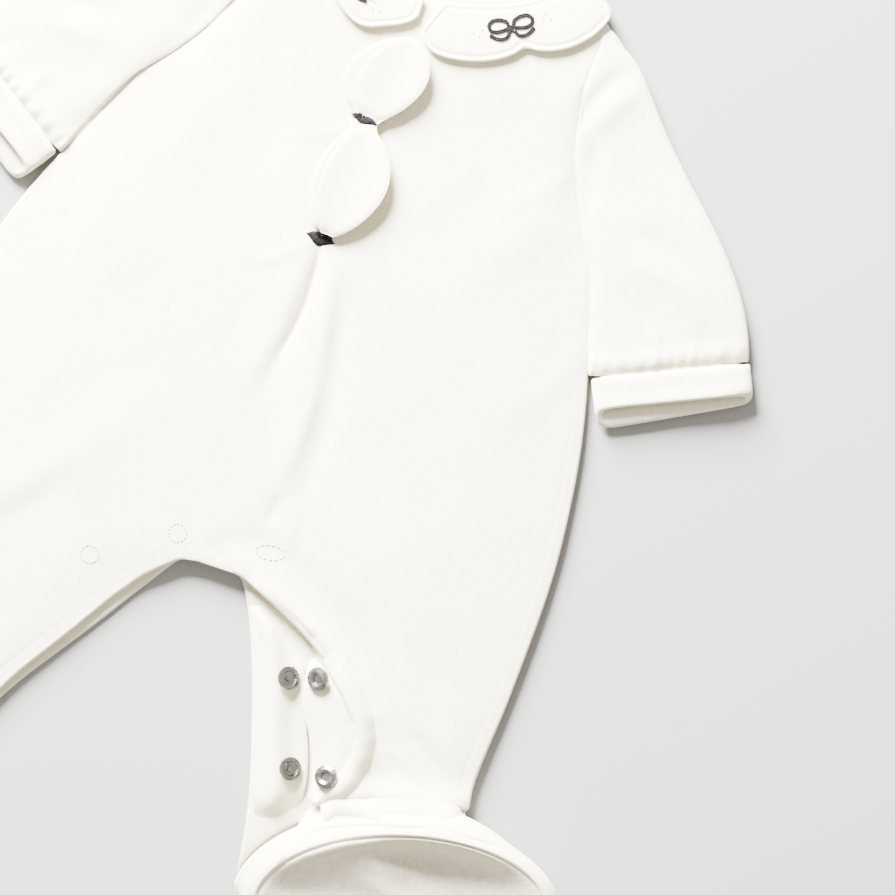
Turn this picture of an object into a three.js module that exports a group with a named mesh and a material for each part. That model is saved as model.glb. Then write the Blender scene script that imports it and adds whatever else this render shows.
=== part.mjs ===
// Footed baby sleepsuit laid on its back, in millimetres.
// +X is the wearer's left, +Y the head end and +Z up. The plan is first drawn from the centre
// front of the collar, and at the end the whole garment is moved to stand on its origin.
import * as THREE from "three";

// Driving dimensions
const CLOTH = 2.6;
const SEAM_GAP = 0.3;
const HOLLOW = 1.9;
const PANEL_GAP = 0.45;
const SLEEVE_CLOTH = 2.3;
const SLEEVE_HEIGHT = 8.0;
const CUFF_CLOTH = 2.8;
const CUFF_HEIGHT = 9.2;
const CUFF_ROLLED_HEIGHT = 8.1;
const CUFF_TOP_LENGTH = 13.5;
const CUFF_UNDER_INNER = 22.5;
const CUFF_UNDER_OUTER = 17.5;
const CUFF_INSET = 0.2;
const CUFF_MOUTH_INSET = 1.2;
const COLLAR_WIDTH = 25;
const COLLAR_CLOTH = 2.0;
const SCALLOP_DEPTH = 5.5;
const SCALLOPS_PER_HALF = 4;
const SCALLOP_ROUNDNESS = 0.7;
const PETAL_CLOTH = 1.6;
const STRIP_CLOTH = 2.0;
const SNAP_RADIUS = 5.25;
const SNAP_HEIGHT = 2.0;
const SOLE_LENGTH = 124;
const SOLE_WIDTH = 62;
const SOLE_CLOTH = 2.2;
const SOLE_CENTRE = { x: 137.5, y: -357 };
const SOLE_TURN = THREE.MathUtils.degToRad(21.7);
const SHOULDER_TOP = 7.9;

// The crotch: lowest place of the centre line, and where each leg starts
const CROTCH_CENTRE_Y = -255.6;
const CROTCH_LEFT = [20.4, -254];
const CROTCH_RIGHT = [8, -257.6];

// Outlines of the wearer's left half, from the neck down. Those of the right half are mirrored,
// but for its neck, which lies lower, and its closed leg, which lies closer to the centre.
const NECK_FRONT = [[0, 8], [14, 10.5], [30, 17.5], [43, 27], [52, 38]];
const NECK_FRONT_RIGHT = [[0, 8], [13, 6], [28, 10], [42, 21], [52, 38]];
const NECK_BACK = [[0, 29], [20, 30], [40, 33.5], [52, 38]];
const SHOULDER_NECK = new THREE.Vector2(52, 38);
const SHOULDER_TIP = new THREE.Vector2(73, 24);
const ARMHOLE = [[73, 24], [72.6, 6], [75.5, -13], [84, -38], [95.5, -58], [107, -72.6]];
const SIDE_YOKE = [116.5, -98];
const SIDE = [[107, -72.6], SIDE_YOKE, [123, -116.7], [131.9, -142.5], [140, -180], [144.2, -212],
  [146.4, -262]];
const THIGH_MIDDLE = [83, -260];
const LEG_OUTER = [[146.4, -262], [146.2, -280], [146.6, -298]];
const LEG_INNER = [CROTCH_LEFT, [28.5, -266], [37, -283], [47.5, -309], [60.5, -341]];
const LEG_INNER_RIGHT = [CROTCH_RIGHT, [16, -265.5], [24.3, -277], [39, -305], [58, -341]];
const LEG_INNER_RIGHT_BACK = [CROTCH_RIGHT, [14, -268], [21.5, -281.5], [36, -308], [56, -341]];
const LEG_INNER_OPEN = [CROTCH_LEFT, [51.9, -265.3], [76.1, -278.3], [90.5, -289.5], [94.8, -305],
  [92, -322]];
const SLEEVE_OUTER = [[73, 24], [88.7, 17.1], [95.5, 11], [107.5, -2.5], [126, -19.4],
  [153.7, -41.9], [175, -65.3], [184.6, -84]];
const SLEEVE_INNER = [[107, -72.6], [112.8, -84], [117.5, -99], [123.4, -117]];

// Folds of the front: a row for each, from one end to the other, with its half width and height
const FRONT_FOLDS = [
  { name: "pleat crease", x0: -4, y0: -108, x1: -2, y1: -168, spread: 3.2, height: -1.5 },
  { name: "pleat left lip", x0: -10, y0: -112, x1: -12, y1: -180, spread: 5, height: 1.2 },
  { name: "pleat right lip", x0: 4, y0: -112, x1: 22, y1: -218, spread: 5.5, height: 1.9 },
  { name: "pleat trough", x0: 12, y0: -130, x1: 36, y1: -222, spread: 6, height: -1.0 },
  { name: "crotch dimple", x0: 20, y0: -216, x1: 24, y1: -230, spread: 4, height: -1.1 },
  { name: "left hip roll", x0: 52, y0: -205, x1: 112, y1: -300, spread: 12, height: 1.5 },
  { name: "left knee trough", x0: 60, y0: -246, x1: 104, y1: -288, spread: 7, height: -1.2 },
  { name: "left thigh roll", x0: 128, y0: -190, x1: 130, y1: -296, spread: 9, height: 1.2 },
  { name: "left ankle tuck", x0: 112, y0: -292, x1: 138, y1: -306, spread: 5, height: -1.3 },
  { name: "left arm drag", x0: 92, y0: -46, x1: 58, y1: -96, spread: 8, height: 1.4 },
  { name: "left side drag", x0: 112, y0: -92, x1: 84, y1: -150, spread: 9, height: 1.1 },
  { name: "right hip roll", x0: -48, y0: -210, x1: -106, y1: -300, spread: 11, height: 1.4 },
  { name: "right knee trough", x0: -64, y0: -250, x1: -96, y1: -296, spread: 7, height: -1.1 },
  { name: "right thigh roll", x0: -126, y0: -184, x1: -128, y1: -290, spread: 9, height: 1.2 },
  { name: "right ankle tuck", x0: -108, y0: -296, x1: -136, y1: -306, spread: 5, height: -1.2 },
  { name: "right arm drag", x0: -94, y0: -48, x1: -62, y1: -100, spread: 8, height: 1.5 },
  { name: "right side drag", x0: -114, y0: -96, x1: -82, y1: -156, spread: 9, height: 1.1 },
];

// Folds of the left sleeve, mirrored on the right one
const SLEEVE_FOLDS = [
  { name: "sleeve head", x0: 84, y0: 0, x1: 108, y1: 2, spread: 5, height: 0.9 },
  { name: "armhole drag", x0: 90, y0: -40, x1: 118, y1: -34, spread: 5, height: -0.9 },
  { name: "elbow roll", x0: 118, y0: -60, x1: 164, y1: -66, spread: 7, height: 0.8 },
  { name: "elbow trough", x0: 120, y0: -80, x1: 150, y1: -84, spread: 5, height: -0.8 },
];

// Petal scallops of the placket: a row for each, between its two tacks or ends
const UPPER_PETALS = [
  { topX: -3, topY: -13, endX: -5.5, endY: -51.5, leftReach: 14.5, rightReach: 15, lift: 2.4 },
  { topX: -5.5, topY: -55.5, endX: -3.5, endY: -104.5, leftReach: 12, rightReach: 17.5, lift: 3.0 },
];
const LOWER_PETALS = [
  { topX: -7, topY: -15, endX: -9.5, endY: -50.5, leftReach: 16.5, rightReach: 8, lift: 1.0 },
  { topX: -8.5, topY: -57.5, endX: -7, endY: -103.5, leftReach: 12.5, rightReach: 8, lift: 1.2 },
];
const TACK_HALF_WIDTH = 3.2;

// The facing turned out of the open leg, a row for each level: serged edge, then outer edge
const LEG_FACING_ROWS = [
  { inX: 60.5, inY: -272.2, inZ: 5.4, outX: 69, outY: -270.4, outZ: 9.6 },
  { inX: 60.8, inY: -278.2, inZ: 5.4, outX: 75.5, outY: -274.8, outZ: 9.9 },
  { inX: 62.8, inY: -287.6, inZ: 5.4, outX: 84, outY: -281, outZ: 10.2 },
  { inX: 66.2, inY: -296.2, inZ: 5.4, outX: 93.5, outY: -289.3, outZ: 10.4 },
  { inX: 72, inY: -303.5, inZ: 5.4, outX: 97.8, outY: -299, outZ: 10.4 },
  { inX: 77.4, inY: -312.8, inZ: 5.4, outX: 97.6, outY: -310.5, outZ: 10.4 },
  { inX: 80.8, inY: -320.5, inZ: 5.4, outX: 95.3, outY: -320, outZ: 10.2 },
  { inX: 83, inY: -330.5, inZ: 5.5, outX: 89.6, outY: -331, outZ: 9.6 },
];

// The snap strip on the back panel's left inseam: edge of the leg, then the strip's free edge
const LEG_STRIP_ROWS = [
  { inX: 27.6, inY: -264, outX: 32.5, outY: -261.4 },
  { inX: 32.8, inY: -271.5, outX: 47, outY: -266 },
  { inX: 39.6, inY: -286.5, outX: 61.5, outY: -281.5 },
  { inX: 47.6, inY: -306.5, outX: 69.5, outY: -299.5 },
  { inX: 55.6, inY: -326, outX: 77.5, outY: -315.6 },
  { inX: 62.8, inY: -343, outX: 81.5, outY: -330.5 },
  { inX: 66, inY: -351, outX: 81, outY: -338 },
];

// Snaps of the open leg, with what each is set on
const SNAPS = [
  { name: "snap_stud_1", on: "leg_strip", x: 54.6, y: -286.2, kind: "stud" },
  { name: "snap_stud_2", on: "leg_strip", x: 70.4, y: -321.6, kind: "stud" },
  { name: "snap_socket_1", on: "leg_facing", x: 67.8, y: -280.6, kind: "socket" },
  { name: "snap_socket_2", on: "leg_facing", x: 87.2, y: -318.0, kind: "socket" },
];

// Colours
const VELOUR = { color: 0xf6f3ec, roughness: 0.95, metalness: 0 };
const NICKEL = { color: 0xb9b7b2, roughness: 0.25, metalness: 1 };

const { clamp, lerp, smoothstep } = THREE.MathUtils;

// Smooth outline through named points
function outline(points) {
  return new THREE.SplineCurve(points.map(([x, y]) => new THREE.Vector2(x, y)));
}

// A joined outline: each piece has its own share of the parameter from 0 to 1
function joinedOutline(pieces) {
  return (share) => {
    const piece = pieces.find((candidate) => share <= candidate.to) ?? pieces[pieces.length - 1];
    const local = (share - piece.from) / (piece.to - piece.from);
    return piece.curve.getPointAt(clamp(local, 0, 1));
  };
}

// A patch between four outlines: across and down run from 0 to 1
function patchPoint(top, bottom, inner, outer, across, down) {
  const point = new THREE.Vector2();
  point.addScaledVector(top(across), 1 - down);
  point.addScaledVector(bottom(across), down);
  point.addScaledVector(inner(down), 1 - across);
  point.addScaledVector(outer(down), across);
  point.addScaledVector(top(0), -(1 - across) * (1 - down));
  point.addScaledVector(top(1), -across * (1 - down));
  point.addScaledVector(bottom(0), -(1 - across) * down);
  point.addScaledVector(bottom(1), -across * down);
  return point;
}

// The panels lift over the back of the collar, which lies under them at the neck
const NECK_LIFT = { fromY: -36, fullY: -5, fullX: 76, toX: 104 };
function collarLift(x, y) {
  const nearNeck = smoothstep(y, NECK_LIFT.fromY, NECK_LIFT.fullY);
  const nearCentre = 1 - smoothstep(Math.abs(x), NECK_LIFT.fullX, NECK_LIFT.toX);
  return (COLLAR_CLOTH + SEAM_GAP) * nearNeck * nearCentre;
}

// Height that a table of folds adds at a place; a fold rises and dies away near its ends
const FOLD_STARTS = [-0.15, 0.3];
const FOLD_ENDS = [0.7, 1.15];
function foldHeight(folds, x, y) {
  let height = 0;
  for (const fold of folds) {
    const runX = fold.x1 - fold.x0;
    const runY = fold.y1 - fold.y0;
    const length = Math.hypot(runX, runY);
    const along = ((x - fold.x0) * runX + (y - fold.y0) * runY) / (length * length);
    const beside = ((x - fold.x0) * runY - (y - fold.y0) * runX) / length;
    const taper = smoothstep(along, ...FOLD_STARTS) * (1 - smoothstep(along, ...FOLD_ENDS));
    height += fold.height * taper * Math.exp(-((beside / fold.spread) ** 2));
  }
  return height;
}

// A closed solid from a sheet: each vertex has an outer and an inner point, each face four vertices
function sheetGeometry(vertices, faces) {
  const count = vertices.length;
  const positions = [];
  for (const vertex of vertices) {
    positions.push(...vertex.outer);
  }
  for (const vertex of vertices) {
    positions.push(...vertex.inner);
  }
  const triangles = [];
  const edges = new Map();
  const addQuad = (a, b, c, d) => {
    triangles.push([a, b, c], [a, c, d]);
  };
  for (const face of faces) {
    const corners = face.filter((corner, place) => corner !== face[(place + 1) % face.length]);
    for (let place = 1; place < corners.length - 1; place += 1) {
      triangles.push([corners[0], corners[place], corners[place + 1]]);
      triangles.push([corners[0] + count, corners[place + 1] + count, corners[place] + count]);
    }
    corners.forEach((corner, place) => {
      const next = corners[(place + 1) % corners.length];
      const back = `${next}_${corner}`;
      if (edges.has(back)) {
        edges.delete(back);
      } else {
        edges.set(`${corner}_${next}`, [corner, next]);
      }
    });
  }
  for (const [start, end] of edges.values()) {
    addQuad(end, start, start + count, end + count);
  }
  return facingOut(positions, triangles);
}

// Turns the faces outward, whichever hand the sheet was built in
function facingOut(positions, triangles) {
  let volume = 0;
  const corner = (index) => new THREE.Vector3().fromArray(positions, 3 * index);
  for (const [a, b, c] of triangles) {
    volume += corner(a).dot(corner(b).cross(corner(c)));
  }
  const ordered = volume > 0 ? triangles : triangles.map(([a, b, c]) => [a, c, b]);
  const geometry = new THREE.BufferGeometry();
  geometry.setAttribute("position", new THREE.Float32BufferAttribute(positions, 3));
  geometry.setIndex(ordered.flat());
  geometry.computeVertexNormals();
  return geometry;
}

// Faces of a plain grid of rows and columns
function gridFaces(rows, columns, closedAcross = false) {
  const faces = [];
  const last = closedAcross ? columns : columns - 1;
  for (let row = 0; row < rows - 1; row += 1) {
    for (let column = 0; column < last; column += 1) {
      const next = (column + 1) % columns;
      faces.push([
        row * columns + column,
        (row + 1) * columns + column,
        (row + 1) * columns + next,
        row * columns + next,
      ]);
    }
  }
  return faces;
}

function mirrored(vertices) {
  const flip = ([x, y, z]) => [-x, y, z];
  return vertices.map((vertex) => ({ outer: flip(vertex.outer), inner: flip(vertex.inner) }));
}

function clothMesh(name, geometry) {
  const mesh = new THREE.Mesh(geometry, new THREE.MeshStandardMaterial(VELOUR));
  mesh.name = name;
  return mesh;
}

// Foot plan: a place at an angle round the sole, so far outside its seam
function footPoint(angle, outside) {
  const along = (SOLE_LENGTH / 2 + outside) * Math.cos(angle);
  const over = (SOLE_WIDTH / 2 + outside) * Math.sin(angle);
  return new THREE.Vector2(
    SOLE_CENTRE.x + along * Math.cos(SOLE_TURN) - over * Math.sin(SOLE_TURN),
    SOLE_CENTRE.y + along * Math.sin(SOLE_TURN) + over * Math.cos(SOLE_TURN),
  );
}

const degrees = THREE.MathUtils.degToRad;
const FOOT_STEPS = 32;
const FOOT_STEP_ANGLE = (2 * Math.PI) / FOOT_STEPS;
const ANKLE_OUTER_ANGLE = 6 * FOOT_STEP_ANGLE;
const ANKLE_INNER_ANGLE = 15 * FOOT_STEP_ANGLE;
const ANKLE_OPEN_ANGLE = 11 * FOOT_STEP_ANGLE;
const FOOT_SLIT_OUTSIDE = 12.6;
const FOOT_FLOOR_OUTSIDE = 9.9;
const HEM_GAP = 0.9;

// The ankle line of a panel, from its inner to its outer end
function ankleLine(innerAngle, outside) {
  return (share) => footPoint(lerp(innerAngle, ANKLE_OUTER_ANGLE, share), outside);
}

// A panel from the neck to both ankles: two halves that share the centre line above the crotch
const CROTCH_SHARES = [0, 0.03, 0.065, 0.1, 0.14];
const ARMHOLE_START = 0.6;
const ARMHOLE_PLACES = [0, 0.15, 0.3, 0.475, 0.65, 0.825, 0.94, 1];
const PANEL_SHARES = [
  ...CROTCH_SHARES, 0.2, 0.28, 0.36, 0.44, 0.52,
  ...ARMHOLE_PLACES.map((place) => lerp(ARMHOLE_START, 1, place)),
];

// The armhole as panel and sleeve share it, straight from one place to the next
const armholeCurve = outline(ARMHOLE);
function armholePoint(share) {
  const found = ARMHOLE_PLACES.findIndex((place) => share <= place + 1e-9);
  const next = Math.max(found, 1);
  const from = ARMHOLE_PLACES[next - 1];
  const to = ARMHOLE_PLACES[next];
  const start = armholeCurve.getPointAt(from);
  return start.lerp(armholeCurve.getPointAt(to), (share - from) / (to - from));
}

function panelRows(count) {
  return Array.from({ length: count }, (_, row) => row / (count - 1));
}

// Below the armhole the columns spread evenly over the width
const YOKE_SHARE = 0.375;
const YOKE_Y = -98;
const EVEN_START = 0.52;
function evenShare(share) {
  if (share <= ARMHOLE_START) {
    return (share * EVEN_START) / ARMHOLE_START;
  }
  return lerp(EVEN_START, 1, (share - ARMHOLE_START) / (1 - ARMHOLE_START));
}

function panelHalf(neck, innerLeg, hem) {
  const crotch = innerLeg[0];
  const neckAndShoulder = joinedOutline([
    { curve: outline(neck), from: 0, to: 0.44 },
    { curve: new THREE.LineCurve(SHOULDER_NECK, SHOULDER_TIP), from: 0.44, to: ARMHOLE_START },
  ]);
  const top = (share) => (share < ARMHOLE_START
    ? neckAndShoulder(share)
    : armholePoint((share - ARMHOLE_START) / (1 - ARMHOLE_START)));
  const crotchShare = evenShare(CROTCH_SHARES[CROTCH_SHARES.length - 1]);
  const crotchEdge = new THREE.LineCurve(
    new THREE.Vector2(0, CROTCH_CENTRE_Y), new THREE.Vector2(...crotch),
  );
  const thighLine = outline([crotch, THIGH_MIDDLE, LEG_OUTER[0]]);
  const bottom = joinedOutline([
    { curve: crotchEdge, from: 0, to: crotchShare },
    { curve: thighLine, from: crotchShare, to: 1 },
  ]);
  const centreTop = new THREE.Vector2(...neck[0]);
  const yokeCentre = new THREE.Vector2(0, YOKE_Y);
  const centreEnd = new THREE.Vector2(0, CROTCH_CENTRE_Y);
  const upperCentre = new THREE.LineCurve(centreTop, yokeCentre);
  const lowerCentre = new THREE.LineCurve(yokeCentre, centreEnd);
  const yokeSide = new THREE.Vector2(...SIDE_YOKE);
  const yoke = (share) => yokeCentre.clone().lerp(yokeSide, evenShare(share));
  const upperSide = outline(SIDE.slice(0, 2));
  const lowerSide = outline(SIDE.slice(1));
  const trunk = (across, down) => (down < YOKE_SHARE
    ? patchPoint(
      top, yoke, (share) => upperCentre.getPointAt(share), (share) => upperSide.getPointAt(share),
      across, down / YOKE_SHARE,
    )
    : patchPoint(
      yoke, (share) => bottom(evenShare(share)),
      (share) => lowerCentre.getPointAt(share), (share) => lowerSide.getPointAt(share),
      across, (down - YOKE_SHARE) / (1 - YOKE_SHARE),
    ));
  const inner = outline([...innerLeg, hem(0).toArray()]);
  const outer = outline([...LEG_OUTER, hem(1).toArray()]);
  const leg = (across, down) => patchPoint(
    (share) => thighLine.getPointAt(share), hem,
    (share) => inner.getPointAt(share), (share) => outer.getPointAt(share), across, down,
  );
  return { trunk, leg };
}

// Walks both halves, asks for the heights at each place, and joins the faces along the centre
function panelSheet(halves, trunkRows, legRows, heights) {
  const vertices = [];
  const faces = [];
  const crotchColumn = CROTCH_SHARES.length - 1;
  const last = PANEL_SHARES.length - 1;
  const trunkIndex = { left: [], right: [] };
  const addVertex = (place, across, down) => {
    const { low, high } = heights(place.x, place.y, across, down);
    vertices.push({ outer: [place.x, place.y, high], inner: [place.x, place.y, low] });
    return vertices.length - 1;
  };
  for (const side of ["left", "right"]) {
    const sign = side === "left" ? 1 : -1;
    const half = halves[side];
    panelRows(trunkRows).forEach((down, row) => {
      trunkIndex[side][row] = PANEL_SHARES.map((across, column) => {
        if (side === "right" && column === 0) {
          return trunkIndex.left[row][0];
        }
        const place = half.trunk(across, down);
        place.x *= sign;
        return addVertex(place, across, { trunk: down });
      });
    });
    const legIndex = [];
    panelRows(legRows).forEach((down, row) => {
      legIndex[row] = PANEL_SHARES.map((share, column) => {
        if (column < crotchColumn) {
          return -1;
        }
        if (row === 0) {
          return trunkIndex[side][trunkRows - 1][column];
        }
        const start = evenShare(PANEL_SHARES[crotchColumn]);
        const across = (evenShare(share) - start) / (1 - start);
        const place = half.leg(across, down);
        place.x *= sign;
        return addVertex(place, across, { leg: down });
      });
    });
    const addFaces = (index, rows, firstColumn) => {
      for (let row = 0; row < rows - 1; row += 1) {
        for (let column = firstColumn; column < last; column += 1) {
          const face = [
            index[row][column], index[row + 1][column], index[row + 1][column + 1], index[row][column + 1],
          ];
          faces.push(sign > 0 ? face : face.reverse());
        }
      }
    };
    addFaces(trunkIndex[side], trunkRows, 0);
    addFaces(legIndex, legRows, crotchColumn);
  }
  return sheetGeometry(vertices, faces);
}

// Rows of the panels, how their side edges round, and the share of a fold that shows underneath
const BACK_ROWS = { trunk: 9, leg: 6 };
const FRONT_ROWS = { trunk: 17, leg: 9 };
const BACK_EDGE_ROUND = 0.5;
const FRONT_EDGE_ROUND = 1.1;
const FOLD_BELOW = 0.55;
const HOLLOW_MOST = 3.6;

// Share of full height near the panel's rims, so that seams and hems round down
function rimShare(across, level) {
  const toSide = smoothstep(1 - across, 0, 0.3);
  if (level.leg === undefined) {
    return toSide * smoothstep(level.trunk, 0, 0.12);
  }
  const toInseam = lerp(1, smoothstep(across, 0, 0.25), smoothstep(level.leg, 0, 0.15));
  return toSide * toInseam;
}

function backPanel() {
  const hem = ankleLine(ANKLE_INNER_ANGLE, FOOT_FLOOR_OUTSIDE + HEM_GAP);
  const left = panelHalf(NECK_BACK, LEG_INNER, hem);
  const right = panelHalf(NECK_BACK, LEG_INNER_RIGHT_BACK, hem);
  return panelSheet({ left, right }, BACK_ROWS.trunk, BACK_ROWS.leg, (x, y, across) => {
    const low = collarLift(x, y);
    const rounded = across === 1 ? BACK_EDGE_ROUND : 0;
    return { low, high: low + CLOTH - rounded };
  });
}

// Underside and top of the front panel at a place
function frontHeights(x, y, across, level) {
  const rim = rimShare(across, level);
  const folds = foldHeight(FRONT_FOLDS, x, y) * rim;
  const hollow = clamp(HOLLOW * rim + FOLD_BELOW * folds, 0, HOLLOW_MOST);
  const low = collarLift(x, y) + CLOTH + PANEL_GAP + hollow;
  const rounded = across === 1 ? FRONT_EDGE_ROUND : 0;
  return { low, high: low + CLOTH + (1 - FOLD_BELOW) * folds - rounded };
}

function frontPanel() {
  const openHem = ankleLine(ANKLE_OPEN_ANGLE, FOOT_SLIT_OUTSIDE + HEM_GAP);
  const closedHem = ankleLine(ANKLE_INNER_ANGLE, FOOT_SLIT_OUTSIDE + HEM_GAP);
  const left = panelHalf(NECK_FRONT, LEG_INNER_OPEN, openHem);
  const right = panelHalf(NECK_FRONT_RIGHT, LEG_INNER_RIGHT, closedHem);
  return panelSheet({ left, right }, FRONT_ROWS.trunk, FRONT_ROWS.leg, frontHeights);
}

// Flattened ring of a sleeve or cuff: places across it, closest at its two folded edges
// and at the armhole's own places, where sleeve and panels meet
const RING_ACROSS = [
  -1, -0.975, -0.88, -0.65, -0.475, -0.3, -0.125, 0.05, 0.225, 0.4, 0.55, 0.7, 0.87, 0.98, 1,
];
const RING = [
  ...RING_ACROSS.map((across) => ({ across, side: 1 })),
  ...RING_ACROSS.slice(1, -1).reverse().map((across) => ({ across, side: -1 })),
];
const RING_SQUARENESS = 5;
const RING_FULLNESS = 1.1;
const PUFF_INSIDE = 0.4;

// A tube through lines across it; each level gives its line, wall, height and how far it leans
function flatTube(levels, fold) {
  const vertices = [];
  for (const level of levels) {
    const wallShare = (2 * level.wall) / level.line(0).distanceTo(level.line(1));
    for (const { across, side } of RING) {
      const round = (1 - Math.abs(across) ** RING_SQUARENESS) ** (1 / RING_SQUARENESS);
      const up = side * Math.min(RING_FULLNESS * round, 1);
      const length = lerp(level.underShift(across), level.topShift, (up + 1) / 2);
      const outside = level.line(0.5 + 0.5 * across).addScaledVector(level.direction, length);
      const insideShare = 0.5 + 0.5 * across * (1 - wallShare);
      const inside = level.line(insideShare).addScaledVector(level.direction, length);
      const lift = collarLift(outside.x, outside.y);
      const puff = up > 0 ? up * fold(outside.x, outside.y, 1 - Math.abs(across)) : 0;
      const hollow = level.height - 2 * level.wall;
      vertices.push({
        outer: [outside.x, outside.y, lift + (level.height * (1 + up)) / 2 + puff],
        inner: [inside.x, inside.y, lift + level.wall + (hollow * (1 + up)) / 2 + PUFF_INSIDE * puff],
      });
    }
  }
  return vertices;
}

const SLEEVE_LEVELS = 9;
const SLEEVE_HEAD_DROP = 0.5;
const CUFF_GATHERS = 9;
const GATHER_HEIGHT = 0.45;
const GATHER_LENGTH = 7;
const SEAM_CLEARANCE = new THREE.Vector2(0.6, 0.2);

// The sleeve's patch: armhole, cuff seam, and its two folded edges
function sleeveVertices() {
  const innerCurve = outline(SLEEVE_INNER);
  const outerCurve = outline(SLEEVE_OUTER);
  const mouth = outerCurve.getPointAt(1);
  const underarm = innerCurve.getPointAt(1);
  const cuffSeam = new THREE.LineCurve(underarm, mouth);
  const levels = panelRows(SLEEVE_LEVELS).map((share) => ({
    line: (across) => patchPoint(
      (place) => armholePoint(1 - place), (place) => cuffSeam.getPointAt(place),
      (place) => innerCurve.getPointAt(place), (place) => outerCurve.getPointAt(place), across, share,
    ).add(SEAM_CLEARANCE),
    wall: SLEEVE_CLOTH,
    height: SLEEVE_HEIGHT - SLEEVE_HEAD_DROP * (1 - share) ** 3,
    direction: new THREE.Vector2(),
    topShift: 0,
    underShift: () => 0,
  }));
  const cuffWay = mouth.clone().sub(underarm).normalize();
  return flatTube(levels, (x, y, fromEdge) => {
    const soft = smoothstep(fromEdge, 0, 0.25);
    const place = new THREE.Vector2(x, y).sub(underarm);
    const along = place.dot(cuffWay) / mouth.distanceTo(underarm);
    const away = Math.abs(place.dot(new THREE.Vector2(-cuffWay.y, cuffWay.x)));
    const wave = Math.sin(2 * Math.PI * CUFF_GATHERS * along);
    const gather = GATHER_HEIGHT * wave * Math.exp(-away / GATHER_LENGTH);
    return soft * (foldHeight(SLEEVE_FOLDS, x, y) + gather);
  });
}

// The cuff: its upper layer ends short of the under one, which reaches furthest by the body
const CUFF_SHARES = [0, 0.12, 0.5, 0.85, 1];

function cuffVertices() {
  const inner = new THREE.Vector2(...SLEEVE_INNER[SLEEVE_INNER.length - 1]).add(SEAM_CLEARANCE);
  const outer = new THREE.Vector2(...SLEEVE_OUTER[SLEEVE_OUTER.length - 1]).add(SEAM_CLEARANCE);
  const across = outer.clone().sub(inner).normalize();
  const direction = new THREE.Vector2(across.y, -across.x);
  const levels = CUFF_SHARES.map((share) => {
    const rolled = share === 0 || share === 1;
    const inset = share === 1 ? CUFF_MOUTH_INSET : CUFF_INSET;
    const start = inner.clone().addScaledVector(across, inset);
    const end = outer.clone().addScaledVector(across, -inset);
    return {
      line: (place) => start.clone().lerp(end, place),
      wall: CUFF_CLOTH,
      height: rolled ? CUFF_ROLLED_HEIGHT : CUFF_HEIGHT,
      direction,
      topShift: SEAM_GAP + share * CUFF_TOP_LENGTH,
      underShift: (place) => {
        const length = lerp(CUFF_UNDER_INNER, CUFF_UNDER_OUTER, (place + 1) / 2);
        return SEAM_GAP + share * length;
      },
    };
  });
  return flatTube(levels, () => 0);
}

// Collar half drawn flat round the neck, with the back unfolded about the shoulder line
const SHOULDER_WAY = SHOULDER_TIP.clone().sub(SHOULDER_NECK).normalize();
const SHOULDER_NORMAL = new THREE.Vector2(-SHOULDER_WAY.y, SHOULDER_WAY.x);
const COLLAR_ROUND = 4.6;
const COLLAR_CLEARANCE = 0.8;
const COLLAR_STEPS = 40;
const COLLAR_BANDS = [0, 0.45, 0.88, 1];
const COLLAR_RIM_LIFT = 0.5;
const COLLAR_RIM_ROUND = 0.25;
const COLLAR_SEAT_REACH = 2;

// How the two halves lie: where each starts at the centre front, how narrow and over what share
// of its length its end is, and how far that end leans over the centre line
const COLLAR_LEFT = {
  sign: 1, neck: NECK_FRONT, start: [3.6, 7.4], endWidth: 0.72, endShare: 0.035, lean: 9,
};
const COLLAR_RIGHT = {
  sign: -1, neck: NECK_FRONT_RIGHT, start: [4.4, 6.4], endWidth: 0.5, endShare: 0.14, lean: 0,
};
const COLLAR_LEAN_SHARE = 0.2;

function collarNeck(half) {
  const unfolded = NECK_BACK.slice(0, -1).reverse().map(([x, y]) => {
    const place = new THREE.Vector2(x, y);
    const beyond = place.clone().sub(SHOULDER_NECK).dot(SHOULDER_NORMAL);
    return place.addScaledVector(SHOULDER_NORMAL, -2 * beyond + Math.PI * COLLAR_ROUND);
  });
  const front = [half.start, ...half.neck.slice(1, -1)].map(([x, y]) => new THREE.Vector2(x, y));
  return new THREE.SplineCurve([...front, SHOULDER_NECK.clone(), ...unfolded]);
}

// Wraps the flat collar over the shoulder: the front part on the chest, the rest under the back
function wrappedPlace(place, outward, topHeight) {
  const beyond = place.clone().sub(SHOULDER_NECK).dot(SHOULDER_NORMAL) - COLLAR_CLEARANCE;
  const turn = Math.PI * COLLAR_ROUND;
  const middle = (topHeight + COLLAR_CLOTH) / 2;
  const radius = middle - COLLAR_CLOTH * (1 - outward);
  if (beyond <= 0) {
    return [place.x, place.y, topHeight + COLLAR_CLOTH * outward];
  }
  const angle = Math.min(beyond / turn, 1) * Math.PI;
  const past = Math.max(beyond - turn, 0);
  const hinge = place.clone().addScaledVector(SHOULDER_NORMAL, -beyond);
  const flat = hinge.addScaledVector(SHOULDER_NORMAL, radius * Math.sin(angle) - past);
  return [flat.x, flat.y, middle + radius * Math.cos(angle)];
}

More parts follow.
